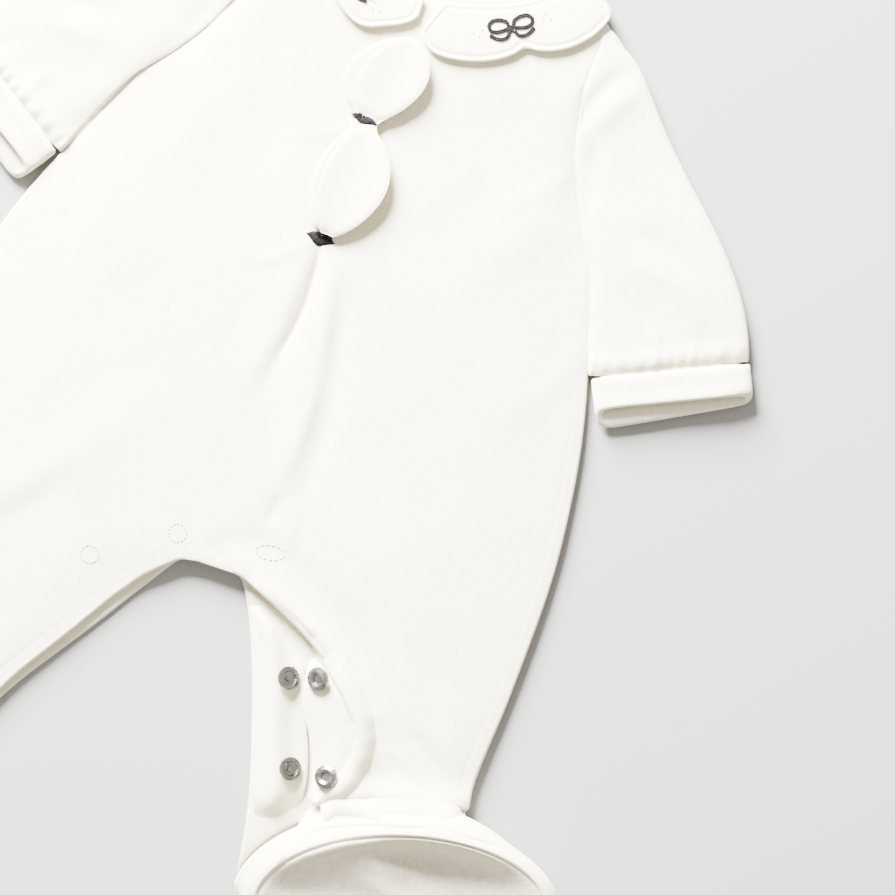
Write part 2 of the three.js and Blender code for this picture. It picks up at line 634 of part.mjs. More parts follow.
function collarVertices(half) {
  const neck = collarNeck(half);
  const vertices = [];
  for (let step = 0; step <= COLLAR_STEPS; step += 1) {
    const share = step / COLLAR_STEPS;
    const start = neck.getPointAt(share);
    const tangent = neck.getTangentAt(share);
    const normal = new THREE.Vector2(tangent.y, -tangent.x);
    const wave = Math.abs(Math.sin(Math.PI * SCALLOPS_PER_HALF * share));
    const endRound = smoothstep(share, 0, half.endShare) * (1 - smoothstep(share, 0.965, 1));
    const plainWidth = (COLLAR_WIDTH - SCALLOP_DEPTH) * lerp(half.endWidth, 1, endRound);
    const width = plainWidth + SCALLOP_DEPTH * wave ** SCALLOP_ROUNDNESS;
    const lean = half.lean * (1 - smoothstep(share, 0, COLLAR_LEAN_SHARE));
    for (const band of COLLAR_BANDS) {
      const place = start.clone().addScaledVector(normal, band * width);
      place.addScaledVector(tangent, -band * lean);
      const seat = place.clone().addScaledVector(normal, COLLAR_SEAT_REACH * (1 - band));
      const under = frontTopAt(half.sign * seat.x, seat.y) + COLLAR_CLEARANCE;
      const edge = band === 1 ? COLLAR_RIM_ROUND : 0;
      const lifted = under + COLLAR_RIM_LIFT * band;
      vertices.push({
        outer: wrappedPlace(place, 1 - edge, lifted),
        inner: wrappedPlace(place, edge, lifted),
      });
    }
  }
  return vertices;
}

// Top of a panel at a place, found by looking straight down on it
const DOWN = new THREE.Vector3(0, 0, -1);
const LOOK_HEIGHT = 100;
function topOf(mesh, x, y) {
  const look = new THREE.Raycaster(new THREE.Vector3(x, y, LOOK_HEIGHT), DOWN);
  const [first] = look.intersectObject(mesh);
  return first ? first.point.z : undefined;
}

function frontTopAt(x, y) {
  const steps = [[0, 0], [0, -1.5], [1.5, -1.5], [-1.5, -3], [0, -6]];
  for (const [stepX, stepY] of steps) {
    const height = topOf(front, x + stepX, y + stepY);
    if (height !== undefined) {
      return height;
    }
  }
  return SHOULDER_TOP;
}

// A chain of petal scallops pinched at each tack
const PETAL_STEPS = 11;
const PETAL_COLUMNS = 7;
const PETAL_SLANT = 2.2;
const PETAL_LEFT_LIFT = 0.45;
const UPPER_PETALS_GAP = 2 * SEAM_GAP + PETAL_CLOTH + 0.6;
const THIN_EDGE_ROUND = 0.3;

function petalVertices(petals, baseGap) {
  const vertices = [];
  for (const petal of petals) {
    for (let step = 0; step <= PETAL_STEPS; step += 1) {
      const share = step / PETAL_STEPS;
      const swell = Math.sin(Math.PI * share ** 0.95) ** 0.75;
      const middleX = lerp(petal.topX, petal.endX, share);
      const middleY = lerp(petal.topY, petal.endY, share);
      for (let column = 0; column < PETAL_COLUMNS; column += 1) {
        const across = (2 * column) / (PETAL_COLUMNS - 1) - 1;
        const reach = across < 0 ? petal.leftReach : petal.rightReach;
        const x = middleX + across * lerp(TACK_HALF_WIDTH, reach, swell);
        const y = middleY + PETAL_SLANT * across * swell;
        const sideLift = across > 0 ? petal.lift : PETAL_LEFT_LIFT * petal.lift;
        const low = frontTopAt(x, y) + baseGap + sideLift * swell * across * across;
        const edge = Math.abs(across) === 1 ? THIN_EDGE_ROUND : 0;
        vertices.push({ outer: [x, y, low + PETAL_CLOTH - edge], inner: [x, y, low + edge] });
      }
    }
  }
  return vertices;
}

function petalGeometry(petals, baseGap) {
  const faces = gridFaces(petals.length * (PETAL_STEPS + 1), PETAL_COLUMNS);
  return sheetGeometry(petalVertices(petals, baseGap), faces);
}

// A strip between two edges given level by level
function stripVertices(rows, columns, heights) {
  const inPlaces = rows.map((row) => new THREE.Vector3(row.inX, row.inY, row.inZ ?? 0));
  const outPlaces = rows.map((row) => new THREE.Vector3(row.outX, row.outY, row.outZ ?? 0));
  const inner = new THREE.CatmullRomCurve3(inPlaces);
  const outer = new THREE.CatmullRomCurve3(outPlaces);
  const vertices = [];
  const steps = 2 * (rows.length - 1);
  for (let step = 0; step <= steps; step += 1) {
    const share = step / steps;
    const from = inner.getPoint(share);
    const to = outer.getPoint(share);
    for (let column = 0; column < columns; column += 1) {
      const across = column / (columns - 1);
      const place = from.clone().lerp(to, across);
      const { low, high } = heights(place, across, share);
      vertices.push({ outer: [place.x, place.y, high], inner: [place.x, place.y, low] });
    }
  }
  return { vertices, faces: gridFaces(steps + 1, columns) };
}

// The strip rolls up along its middle and stays low where the facing lies over it
const STRIP_COLUMNS = 8;
const STRIP_ROLL = { height: 4.2, middle: 0.42, spread: 0.2 };
const STRIP_FACING_START = 0.6;
const STRIP_UNDER_FACING = 5.1;

function legStrip() {
  const { vertices, faces } = stripVertices(LEG_STRIP_ROWS, STRIP_COLUMNS, (place, across, share) => {
    const ends = smoothstep(share, 0, 0.2) * (1 - smoothstep(share, 0.8, 1));
    const low = CLOTH + SEAM_GAP;
    const beside = (across - STRIP_ROLL.middle) / STRIP_ROLL.spread;
    const roll = STRIP_ROLL.height * ends * Math.exp(-(beside ** 2));
    const edge = across === 0 || across === 1 ? THIN_EDGE_ROUND : 0;
    const high = low + STRIP_CLOTH + roll - edge;
    return { low, high: across > STRIP_FACING_START ? Math.min(high, STRIP_UNDER_FACING) : high };
  });
  return sheetGeometry(vertices, faces);
}

// The facing rises from its serged edge and rolls down over the crest of the front's inseam
const FACING_COLUMNS = 9;
const FACING_RISE = 4.6;
const FACING_RISE_SHARE = 0.62;
const FACING_ROLL_DOWN = 0.9;

function legFacing() {
  const { vertices, faces } = stripVertices(LEG_FACING_ROWS, FACING_COLUMNS, (place, across) => {
    const rise = smoothstep(across, 0, FACING_RISE_SHARE) - across;
    const low = place.z + FACING_RISE * rise - FACING_ROLL_DOWN * across ** 6;
    const edge = across === 0 || across === 1 ? THIN_EDGE_ROUND : 0;
    return { low, high: low + STRIP_CLOTH - edge };
  });
  return sheetGeometry(vertices, faces);
}

// Foot: the wall round the sole rises most beside the leg and is slit there for the leg.
// A row for each ring: how far outside the sole's seam, there and in the ankle, and its share
// of the rise. The last two rings lie under the foot.
const FOOT_RINGS = [
  { outside: 0.2, ankle: 0.2, level: 1.0 },
  { outside: 3.0, ankle: 3.0, level: 0.97 },
  { outside: 6.0, ankle: 8.6, level: 0.68 },
  { outside: 6.4, ankle: FOOT_SLIT_OUTSIDE, level: 0.4 },
  { outside: 4.0, ankle: FOOT_FLOOR_OUTSIDE, level: 0.0 },
  { outside: -9.0, ankle: -9.0, level: 0.0 },
];
const FOOT_SLIT_RING = 3;
const FOOT_SLIT_HEIGHT = 8.4;
const FOOT_RIM_INSET = 0.2;
const FOOT_WALL_SHARE = 0.35;
const FOOT_RISE = { least: 6.5, towardsLeg: 13.5, towardsToe: 2.5, leaning: 1.6 };
const ANKLE_RISE_ANGLE = degrees(24);
const ANKLE_FALL_ANGLE = degrees(14);
const ANGLE_SLACK = 0.02;

function footRise(angle) {
  const towardsLeg = (1 + Math.sin(angle)) / 2;
  const towardsToe = (1 + Math.cos(angle)) / 2;
  const leg = FOOT_RISE.towardsLeg * towardsLeg ** FOOT_RISE.leaning;
  return FOOT_RISE.least + leg + FOOT_RISE.towardsToe * towardsToe;
}

// How far round the leg's side of the foot an angle lies: 1 in the ankle, 0 clear of it
function ankleShare(angle) {
  const rise = smoothstep(angle, ANKLE_OUTER_ANGLE - ANKLE_RISE_ANGLE, ANKLE_OUTER_ANGLE);
  const fall = 1 - smoothstep(angle, ANKLE_INNER_ANGLE, ANKLE_INNER_ANGLE + ANKLE_FALL_ANGLE);
  return rise * fall;
}

// One place of a foot ring: the outside of the cloth and, a wall further in, its inside
function footVertex(ring, order, angle) {
  const ankle = ankleShare(angle);
  const outside = lerp(ring.outside, ring.ankle, ankle);
  const rise = ring.level * footRise(angle);
  const height = order === FOOT_SLIT_RING ? lerp(rise, FOOT_SLIT_HEIGHT, ankle) : rise;
  const place = footPoint(angle, outside);
  if (order > FOOT_SLIT_RING) {
    return { outer: [place.x, place.y, height], inner: [place.x, place.y, CLOTH] };
  }
  const inside = footPoint(angle, outside - (order === 0 ? FOOT_RIM_INSET : CLOTH));
  const wall = order === 0 ? CLOTH : FOOT_WALL_SHARE * CLOTH * order;
  return {
    outer: [place.x, place.y, height],
    inner: [inside.x, inside.y, Math.max(height - wall, CLOTH)],
  };
}

const footAngles = Array.from(
  { length: FOOT_STEPS }, (_, step) => (step - FOOT_STEPS / 4) * FOOT_STEP_ANGLE,
);

// Closes the last ring of a foot piece round a middle vertex
function fanFaces(rings, middle) {
  const lastRing = (rings - 1) * FOOT_STEPS;
  return footAngles.map((_, step) => [lastRing + step, middle, lastRing + ((step + 1) % FOOT_STEPS)]);
}

function footUpper() {
  const vertices = FOOT_RINGS.flatMap(
    (ring, order) => footAngles.map((angle) => footVertex(ring, order, angle)),
  );
  const slitQuads = new Set();
  footAngles.forEach((angle, step) => {
    const next = footAngles[(step + 1) % FOOT_STEPS];
    const inside = angle >= ANKLE_OUTER_ANGLE - ANGLE_SLACK && next <= ANKLE_INNER_ANGLE + ANGLE_SLACK;
    if (inside && next > angle) {
      slitQuads.add(FOOT_SLIT_RING * FOOT_STEPS + step);
    }
  });
  const walls = gridFaces(FOOT_RINGS.length, FOOT_STEPS, true);
  const faces = walls.filter((_, place) => !slitQuads.has(place));
  const centre = footPoint(0, -SOLE_LENGTH / 2);
  vertices.push({ outer: [centre.x, centre.y, 0], inner: [centre.x, centre.y, CLOTH] });
  faces.push(...fanFaces(FOOT_RINGS.length, vertices.length - 1));
  return { vertices, faces };
}

// Sole: a dished oval that hangs from its seam into the foot
const SOLE_RINGS = [
  { scale: 1.0, drop: 0.0, steepness: 0 },
  { scale: 0.93, drop: 0.1, steepness: 0.8 },
  { scale: 0.82, drop: 0.5, steepness: 0.8 },
  { scale: 0.66, drop: 0.85, steepness: 0 },
  { scale: 0.38, drop: 1.0, steepness: 0 },
];
const SOLE_INSET = 0.5;
const SOLE_FLOOR = 4.0;
const SOLE_RIM_DROP = 0.4;

// A soft ridge runs from the leg's side of the rim into the sole
const SOLE_RIDGE = { angle: degrees(116), spread: degrees(25), height: 5.5 };
const SOLE_MIDDLE_RISE = 2.6;

function soleHeight(angle, ring) {
  const rim = footRise(angle) - SOLE_RIM_DROP;
  const beside = (angle - SOLE_RIDGE.angle) / SOLE_RIDGE.spread;
  const ridge = SOLE_RIDGE.height * Math.exp(-(beside ** 2)) * (1 - ring.scale) * 4 * ring.scale;
  return lerp(rim, SOLE_FLOOR + SOLE_CLOTH, ring.drop) + ridge;
}

function sole() {
  const vertices = SOLE_RINGS.flatMap((ring) => footAngles.map((angle) => {
    const place = footPoint(angle, -SOLE_INSET);
    const x = lerp(SOLE_CENTRE.x, place.x, ring.scale);
    const y = lerp(SOLE_CENTRE.y, place.y, ring.scale);
    const high = soleHeight(angle, ring);
    const low = Math.max(high - SOLE_CLOTH - ring.steepness, CLOTH + SEAM_GAP);
    return { outer: [x, y, high], inner: [x, y, low] };
  }));
  const middle = SOLE_FLOOR + SOLE_MIDDLE_RISE;
  vertices.push({
    outer: [SOLE_CENTRE.x, SOLE_CENTRE.y, middle + SOLE_CLOTH],
    inner: [SOLE_CENTRE.x, SOLE_CENTRE.y, middle],
  });
  const faces = gridFaces(SOLE_RINGS.length, FOOT_STEPS, true);
  faces.push(...fanFaces(SOLE_RINGS.length, vertices.length - 1));
  return { vertices, faces };
}

// Seat of a snap: the slope under it, and how far it stands off to clear the cloth all round
function seatOn(mesh, x, y) {
  const reach = 0.8 * SNAP_RADIUS;
  const east = topOf(mesh, x + reach, y);
  const west = topOf(mesh, x - reach, y);
  const north = topOf(mesh, x, y + reach);
  const south = topOf(mesh, x, y - reach);
  const centre = topOf(mesh, x, y);
  const up = new THREE.Vector3(west - east, south - north, 2 * reach).normalize();
  const proud = Math.max(0, (east + west) / 2 - centre, (north + south) / 2 - centre);
  return { place: new THREE.Vector3(x, y, centre), up, proud };
}

// Profiles of the two kinds of ring snap, from the axis out and back to it
const SNAP_NECK = 0.7;
const SNAP_RIM = [[2.6, 0], [2.6, SNAP_NECK], [SNAP_RADIUS - 0.4, SNAP_NECK], [SNAP_RADIUS, 1.1],
  [SNAP_RADIUS - 0.2, 1.9]];
const SNAP_PROFILES = {
  stud: [[0, 0], ...SNAP_RIM, [3.4, 2.1], [2.8, 1.4], [1.7, 1.4], [1.6, SNAP_HEIGHT + SNAP_NECK],
    [0, SNAP_HEIGHT + SNAP_NECK]],
  socket: [[0, 0], ...SNAP_RIM, [3.3, SNAP_HEIGHT + SNAP_NECK - 0.2], [2.2, SNAP_HEIGHT],
    [1.9, 1.2], [0, 1.2]],
};

// Ring snap: a stud has a post, a socket has a pressed hole
function snap({ name, on, x, y, kind }) {
  const profile = SNAP_PROFILES[kind].map(([radius, height]) => new THREE.Vector2(radius, height));
  const geometry = new THREE.LatheGeometry(profile, 14);
  geometry.rotateX(Math.PI / 2);
  const mesh = new THREE.Mesh(geometry, new THREE.MeshStandardMaterial(NICKEL));
  const { place, up, proud } = seatOn(garment.getObjectByName(on), x, y);
  mesh.name = name;
  mesh.position.copy(place).addScaledVector(up, SEAM_GAP + proud);
  mesh.quaternion.setFromUnitVectors(new THREE.Vector3(0, 0, 1), up);
  return mesh;
}

const garment = new THREE.Group();
const front = clothMesh("front", frontPanel());
garment.add(clothMesh("back", backPanel()));
garment.add(front);

const sleeve = sleeveVertices();
const cuff = cuffVertices();
const upper = footUpper();
const footSole = sole();
const sleeveFaces = gridFaces(SLEEVE_LEVELS, RING.length, true);
const cuffFaces = gridFaces(cuff.length / RING.length, RING.length, true);
const PAIRS = [
  { name: "sleeve", vertices: sleeve, faces: sleeveFaces },
  { name: "cuff", vertices: cuff, faces: cuffFaces },
  { name: "foot_upper", vertices: upper.vertices, faces: upper.faces },
  { name: "sole", vertices: footSole.vertices, faces: footSole.faces },
];
for (const { name, vertices, faces } of PAIRS) {
  garment.add(clothMesh(`${name}_left`, sheetGeometry(vertices, faces)));
  garment.add(clothMesh(`${name}_right`, sheetGeometry(mirrored(vertices), faces)));
}

const collarFaces = gridFaces(COLLAR_STEPS + 1, COLLAR_BANDS.length);
const collarLeft = collarVertices(COLLAR_LEFT);
const collarRight = mirrored(collarVertices(COLLAR_RIGHT));
garment.add(clothMesh("collar_left", sheetGeometry(collarLeft, collarFaces)));
garment.add(clothMesh("collar_right", sheetGeometry(collarRight, collarFaces)));

garment.add(clothMesh("petals_lower", petalGeometry(LOWER_PETALS, SEAM_GAP)));
garment.add(clothMesh("petals_upper", petalGeometry(UPPER_PETALS, UPPER_PETALS_GAP)));
garment.add(clothMesh("leg_strip", legStrip()));
garment.add(clothMesh("leg_facing", legFacing()));
for (const row of SNAPS) {
  garment.add(snap(row));
}

// Stands the garment on its origin: bottom centre of its box
const box = new THREE.Box3().setFromObject(garment, true);
const middle = box.getCenter(new THREE.Vector3());
garment.position.set(-middle.x, -middle.y, -box.min.z);
garment.updateMatrixWorld(true);

export default garment;
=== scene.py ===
# Footed baby sleepsuit laid on its back on a pale surface, seen from straight above.
import math
import random

import bmesh
import bpy
import numpy as np
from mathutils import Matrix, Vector
from mathutils.bvhtree import BVHTree
from mathutils.kdtree import KDTree


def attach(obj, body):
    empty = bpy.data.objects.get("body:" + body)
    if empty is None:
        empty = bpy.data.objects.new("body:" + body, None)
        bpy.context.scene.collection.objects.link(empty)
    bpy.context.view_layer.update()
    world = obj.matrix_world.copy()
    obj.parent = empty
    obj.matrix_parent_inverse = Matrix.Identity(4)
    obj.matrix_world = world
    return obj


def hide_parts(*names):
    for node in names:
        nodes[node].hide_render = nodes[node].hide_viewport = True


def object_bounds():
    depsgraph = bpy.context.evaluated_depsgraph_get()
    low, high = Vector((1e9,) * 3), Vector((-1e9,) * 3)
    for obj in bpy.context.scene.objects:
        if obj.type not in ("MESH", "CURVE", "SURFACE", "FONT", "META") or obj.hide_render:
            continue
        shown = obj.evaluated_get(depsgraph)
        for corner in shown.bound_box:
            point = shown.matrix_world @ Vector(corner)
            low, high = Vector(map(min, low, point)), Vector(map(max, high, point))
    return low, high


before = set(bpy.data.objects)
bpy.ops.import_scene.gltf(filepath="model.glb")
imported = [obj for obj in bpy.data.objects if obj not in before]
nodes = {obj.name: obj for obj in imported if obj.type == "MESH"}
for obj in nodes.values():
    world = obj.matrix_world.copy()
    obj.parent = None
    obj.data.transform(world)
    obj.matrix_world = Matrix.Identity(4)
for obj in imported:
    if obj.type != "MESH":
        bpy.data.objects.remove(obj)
cad_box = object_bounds()

# Sizes, in metres unless a name says otherwise
MM = 0.001
FEET_BELOW_COLLAR = 399.944 * MM
COLLAR_TO_ORIGIN = cad_box[0][1] + FEET_BELOW_COLLAR
PHOTO_WIDTH = 385 * MM
PHOTO_CENTRE = (79.4 * MM, COLLAR_TO_ORIGIN - 168.1 * MM)
PHOTO_TURN = math.radians(23)
CAMERA_HEIGHT = 2.2
SENSOR = 36.0


def to_plan(x, y):
    """Garment millimetres from the centre front of the collar, as metres in the frame."""
    return x * MM, y * MM + COLLAR_TO_ORIGIN


def plan_line(points, hand=1):
    """Places in the plan for points in garment millimetres. The hand is -1 for the right side."""
    return [Vector((*to_plan(hand * x, y), 0)) for x, y in points]


# Materials
def node_material(name):
    material = bpy.data.materials.new(name)
    material.use_nodes = True
    tree = material.node_tree
    shader = tree.nodes["Principled BSDF"]
    return material, tree, shader


def noise(tree, scale, detail=3.0, stretch=(1, 1, 1)):
    where = tree.nodes.new("ShaderNodeTexCoord")
    mapping = tree.nodes.new("ShaderNodeMapping")
    mapping.inputs["Scale"].default_value = stretch
    texture = tree.nodes.new("ShaderNodeTexNoise")
    texture.inputs["Scale"].default_value = scale
    texture.inputs["Detail"].default_value = detail
    tree.links.new(where.outputs["Object"], mapping.inputs["Vector"])
    tree.links.new(mapping.outputs["Vector"], texture.inputs["Vector"])
    return texture.outputs["Fac"]


def tint(tree, shader, factor, low, high, start=0.3, end=0.7):
    ramp = tree.nodes.new("ShaderNodeValToRGB")
    ramp.color_ramp.elements[0].position = start
    ramp.color_ramp.elements[0].color = (*low, 1)
    ramp.color_ramp.elements[1].position = end
    ramp.color_ramp.elements[1].color = (*high, 1)
    tree.links.new(factor, ramp.inputs["Fac"])
    tree.links.new(ramp.outputs["Color"], shader.inputs["Base Color"])


def bump(tree, shader, layers):
    """Stacks bumps: each layer is a height, its strength and its depth in metres."""
    normal = None
    for height, strength, depth in layers:
        step = tree.nodes.new("ShaderNodeBump")
        step.inputs["Strength"].default_value = strength
        step.inputs["Distance"].default_value = depth
        tree.links.new(height, step.inputs["Height"])
        if normal is not None:
            tree.links.new(normal, step.inputs["Normal"])
        normal = step.outputs["Normal"]
    tree.links.new(normal, shader.inputs["Normal"])


# Noise of the cloth: scale, detail and stretch
PATCHES = (38, 4)
PILE = (2600, 2, (1, 0.7, 1))
TUFTS = (700, 3, (1, 0.45, 1))
BRUSHED = (90, 3, (1, 0.5, 1))
EVEN_SHARE = 0.5
NAP_SHARE = 0.1
VELOUR_SURFACE = {
    "Roughness": 0.93,
    "Specular IOR Level": 0.18,
    "Sheen Weight": 0.35,
    "Sheen Roughness": 0.45,
    "Subsurface Weight": 0.08,
    "Subsurface Radius": (0.004, 0.0035, 0.003),
}

# Noise of thread and metal: scale, detail and stretch
THREAD_TINT = (900, 2)
THREAD_TWIST = (3200, 2, (1, 1, 0.4))
THREAD_SURFACE = {"Roughness": 0.7, "Specular IOR Level": 0.04}
METAL_TINT = (400, 3)
METAL_WEAR = (1500, 2)
METAL_SURFACE = {"Metallic": 1.0, "Roughness": 0.26}
NICKEL_DARK = (0.13, 0.127, 0.12)
NICKEL_LIGHT = (0.29, 0.283, 0.27)


def set_surface(shader, values):
    for socket, value in values.items():
        shader.inputs[socket].default_value = value


def multiplied(tree, operation, factor, value):
    """Math node that multiplies a value by a factor, and may then add its third input."""
    node = tree.nodes.new("ShaderNodeMath")
    node.operation = operation
    node.inputs[1].default_value = factor
    tree.links.new(value, node.inputs[0])
    return node


def velour(name, low, high, nap=1.0):
    """Cloth with a short pile: pale patches, small tufts and brushed lanes."""
    material, tree, shader = node_material(name)
    patches, pile = noise(tree, *PATCHES), noise(tree, *PILE)
    tufts, brushed = noise(tree, *TUFTS), noise(tree, *BRUSHED)
    mottle = multiplied(tree, "MULTIPLY_ADD", EVEN_SHARE + NAP_SHARE * nap, tufts)
    patchy = multiplied(tree, "MULTIPLY", EVEN_SHARE - NAP_SHARE * nap, patches)
    tree.links.new(patchy.outputs["Value"], mottle.inputs[2])
    tint(tree, shader, mottle.outputs["Value"], low, high)
    bump(tree, shader, [
        (brushed, 0.25 * nap, 0.5 * MM),
        (tufts, 0.35 * nap, 0.22 * MM),
        (pile, 0.5 * nap, 0.12 * MM),
    ])
    set_surface(shader, VELOUR_SURFACE)
    return material


def thread(name, low, high, sheen=0.2):
    material, tree, shader = node_material(name)
    tint(tree, shader, noise(tree, *THREAD_TINT), low, high)
    bump(tree, shader, [(noise(tree, *THREAD_TWIST), 0.5, 0.08 * MM)])
    set_surface(shader, {**THREAD_SURFACE, "Sheen Weight": sheen})
    return material


def nickel():
    material, tree, shader = node_material("nickel_ring")
    tint(tree, shader, noise(tree, *METAL_TINT), NICKEL_DARK, NICKEL_LIGHT)
    bump(tree, shader, [(noise(tree, *METAL_WEAR), 0.15, 0.03 * MM)])
    set_surface(shader, METAL_SURFACE)
    return material


IVORY = velour("ivory_velour", (0.566, 0.531, 0.400), (0.636, 0.601, 0.466), nap=1.2)
IVORY_NAP = velour("ivory_raised_nap", (0.550, 0.516, 0.390), (0.670, 0.635, 0.510), nap=2.6)
# Painted shade: the back panel's cloth is darker and warmer than the front. It stands in for the shade
# in the hollow of the open leg and under the crotch.
IVORY_BACK_PAINTED_SHADE = velour("ivory_back_painted_shade", (0.540, 0.500, 0.380), (0.610, 0.570, 0.450), nap=0.7)
# Painted shade: the soles are a darker, warmer cloth. It stands in for the shade in the hollow inside
# the foot's rim.
IVORY_SOLE_PAINTED_SHADE = velour("ivory_sole_painted_shade", (0.425, 0.390, 0.300), (0.545, 0.510, 0.410), nap=3.0)
GREY_THREAD = thread("grey_embroidery", (0.004, 0.004, 0.005), (0.012, 0.011, 0.013), sheen=0.0)
IVORY_THREAD = thread("ivory_thread", (0.50, 0.46, 0.36), (0.58, 0.54, 0.44))
WHITE_THREAD = thread("white_thread", (0.37, 0.36, 0.33), (0.46, 0.45, 0.42))
BEIGE_THREAD = thread("beige_thread", (0.21, 0.16, 0.10), (0.30, 0.24, 0.16))
NICKEL = nickel()

# Shells: each cloth solid of the frame, made round and fine
SAME_PLACE = 0.01 * MM
FLATTEST_JOIN = math.radians(60)
WIDEST_JOIN = math.radians(179)
FLAT_TOP = 0.6
UPPER_SIDE = 0.25
SHELL_LEVELS = 2


def quad_mesh(node):
    """The node's solid with its corners merged and its triangles joined back into quads."""
    mesh = bmesh.new()
    mesh.from_mesh(nodes[node].data)
    bmesh.ops.remove_doubles(mesh, verts=mesh.verts, dist=SAME_PLACE)
    bmesh.ops.join_triangles(
        mesh, faces=mesh.faces, angle_face_threshold=FLATTEST_JOIN,
        angle_shape_threshold=WIDEST_JOIN,
    )
    mesh.normal_update()
    return mesh


def rim_chain(node):
    """The longest line where the node's top turns down into its side wall, in order."""
    mesh = quad_mesh(node)
    following = {}
    for edge in mesh.edges:
        if len(edge.link_faces) != 2:
            continue
        tops = [face.normal.z > FLAT_TOP for face in edge.link_faces]
        sides = [abs(face.normal.z) <= FLAT_TOP for face in edge.link_faces]
        if any(tops) and any(sides):
            a, b = (vertex.co.to_tuple(7) for vertex in edge.verts)
            following.setdefault(a, []).append(b)
            following.setdefault(b, []).append(a)
    mesh.free()
    chains, unused = [], set(following)
    while unused:
        ends = [p for p in unused if len(following[p]) == 1]
        place = min(ends) if ends else min(unused)
        chain = [place]
        unused.discard(place)
        while True:
            ahead = [p for p in following[chain[-1]] if p in unused]
            if not ahead:
                break
            chain.append(ahead[0])
            unused.discard(ahead[0])
        chains.append([Vector(p) for p in chain])
    return max(chains, key=len) if chains else []


def even_line(points, step, closed=False):
    """Places a step apart along a line through points."""
    line = list(points) + ([points[0]] if closed else [])
    spots, carried = [], 0.0
    for start, end in zip(line, line[1:]):
        length = (end - start).length
        while carried < length:
            spots.append(start.lerp(end, carried / max(length, 1e-9)))
            carried += step
        carried -= length
    return spots


def new_piece(name, mesh, material):
    piece = bpy.data.objects.new(name, mesh)
    bpy.context.scene.collection.objects.link(piece)
    mesh.materials.clear()
    mesh.materials.append(material)
    for polygon in mesh.polygons:
        polygon.use_smooth = True
    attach(piece, "root")
    return piece


def rounded_mesh(name, node, fine):
    """The node's mesh after Catmull-Clark rounding, with its upper side split once more if fine."""
    mesh = bpy.data.meshes.new(name)
    source = quad_mesh(node)
    source.to_mesh(mesh)
    source.free()
    holder = bpy.data.objects.new(name, mesh)
    bpy.context.scene.collection.objects.link(holder)
    modifier = holder.modifiers.new("round", "SUBSURF")
    modifier.levels = SHELL_LEVELS
    modifier.render_levels = SHELL_LEVELS
    graph = bpy.context.evaluated_depsgraph_get()
    result = bpy.data.meshes.new_from_object(holder.evaluated_get(graph))
    bpy.data.objects.remove(holder)
    if fine:
        grid = bmesh.new()
        grid.from_mesh(result)
        grid.normal_update()
        upper = {edge for face in grid.faces if face.normal.z > UPPER_SIDE for edge in face.edges}
        bmesh.ops.subdivide_edges(grid, edges=list(upper), cuts=1, smooth=1.0, use_grid_fill=True)
        grid.to_mesh(result)
        grid.free()
        result.update()
    return result


def coordinates(mesh):
    places = np.empty(len(mesh.vertices) * 3)
    mesh.vertices.foreach_get("co", places)
    normals = np.empty(len(mesh.vertices) * 3)
    mesh.vertices.foreach_get("normal", normals)
    return places.reshape(-1, 3), normals.reshape(-1, 3)


def smooth(values, low, high):
    share = np.clip((values - low) / (high - low), 0, 1)
    return share * share * (3 - 2 * share)


# How creases, rolls and gathers run out, as shares of a crease's length or in millimetres
CREASE_BOW = 0.06
CREASE_START = (-0.12, 0.35)
CREASE_END = (0.6, 1.12)
ROLL_END = (-4, 14)
GATHER_WANDER = 1.6
GATHER_WANDER_LENGTH = 6.3
EDGE_FADE = 14
ABOVE_ALL = 200
UPPER_FADE = (0.05, 0.6)

# Slack cloth in two directions: length of the waves, their wander and its length, in millimetres
SLACK_ACROSS = (11.3, 1.7, 19.0)
SLACK_ALONG = (14.9, 1.3, 23.0)


def fold_heights(folds, x, y):
    """Height that the listed folds add: rows of ends, half width and height, in millimetres."""
    total = np.zeros_like(x)
    for _, x0, y0, x1, y1, spread, height in folds:
        run = np.array([x1 - x0, y1 - y0], float)
        length = np.hypot(*run)
        along = ((x - x0) * run[0] + (y - y0) * run[1]) / length**2
        beside = ((x - x0) * run[1] - (y - y0) * run[0]) / length
        bowed = beside + CREASE_BOW * length * np.sin(math.pi * np.clip(along, 0, 1))
        taper = smooth(along, *CREASE_START) * (1 - smooth(along, *CREASE_END))
        total += height * taper * np.exp(-((bowed / spread) ** 2))
    return total


def line_distance(x, y, line):
    """Plan distance in millimetres to a line through points, and which side of it a place lies on."""
    nearest = np.full_like(x, 1e6)
    side = np.zeros_like(x)
    for (x0, y0), (x1, y1) in zip(line, line[1:]):
        run_x, run_y = x1 - x0, y1 - y0
        length = math.hypot(run_x, run_y)
        share = np.clip(((x - x0) * run_x + (y - y0) * run_y) / length**2, 0, 1)
        away = np.hypot(x - x0 - share * run_x, y - y0 - share * run_y)
        beside = ((x - x0) * run_y - (y - y0) * run_x) / length
        closer = away < nearest
        nearest = np.where(closer, away, nearest)
        side = np.where(closer, beside, side)
    return nearest, side


def roll_heights(rolls, x, y):
    """Height of long rolls and grooves: rows of line, way beside it, half width and height."""
    total = np.zeros_like(x)
    for _, line, offset, spread, height in rolls:
        away, side = line_distance(x, y, line)
        signed = np.copysign(away, side)
        from_start = np.hypot(x - line[0][0], y - line[0][1])
        from_end = np.hypot(x - line[-1][0], y - line[-1][1])
        ends = smooth(np.minimum(from_start, from_end), *ROLL_END)
        total += height * np.exp(-(((signed - offset) / spread) ** 2)) * ends
    return total


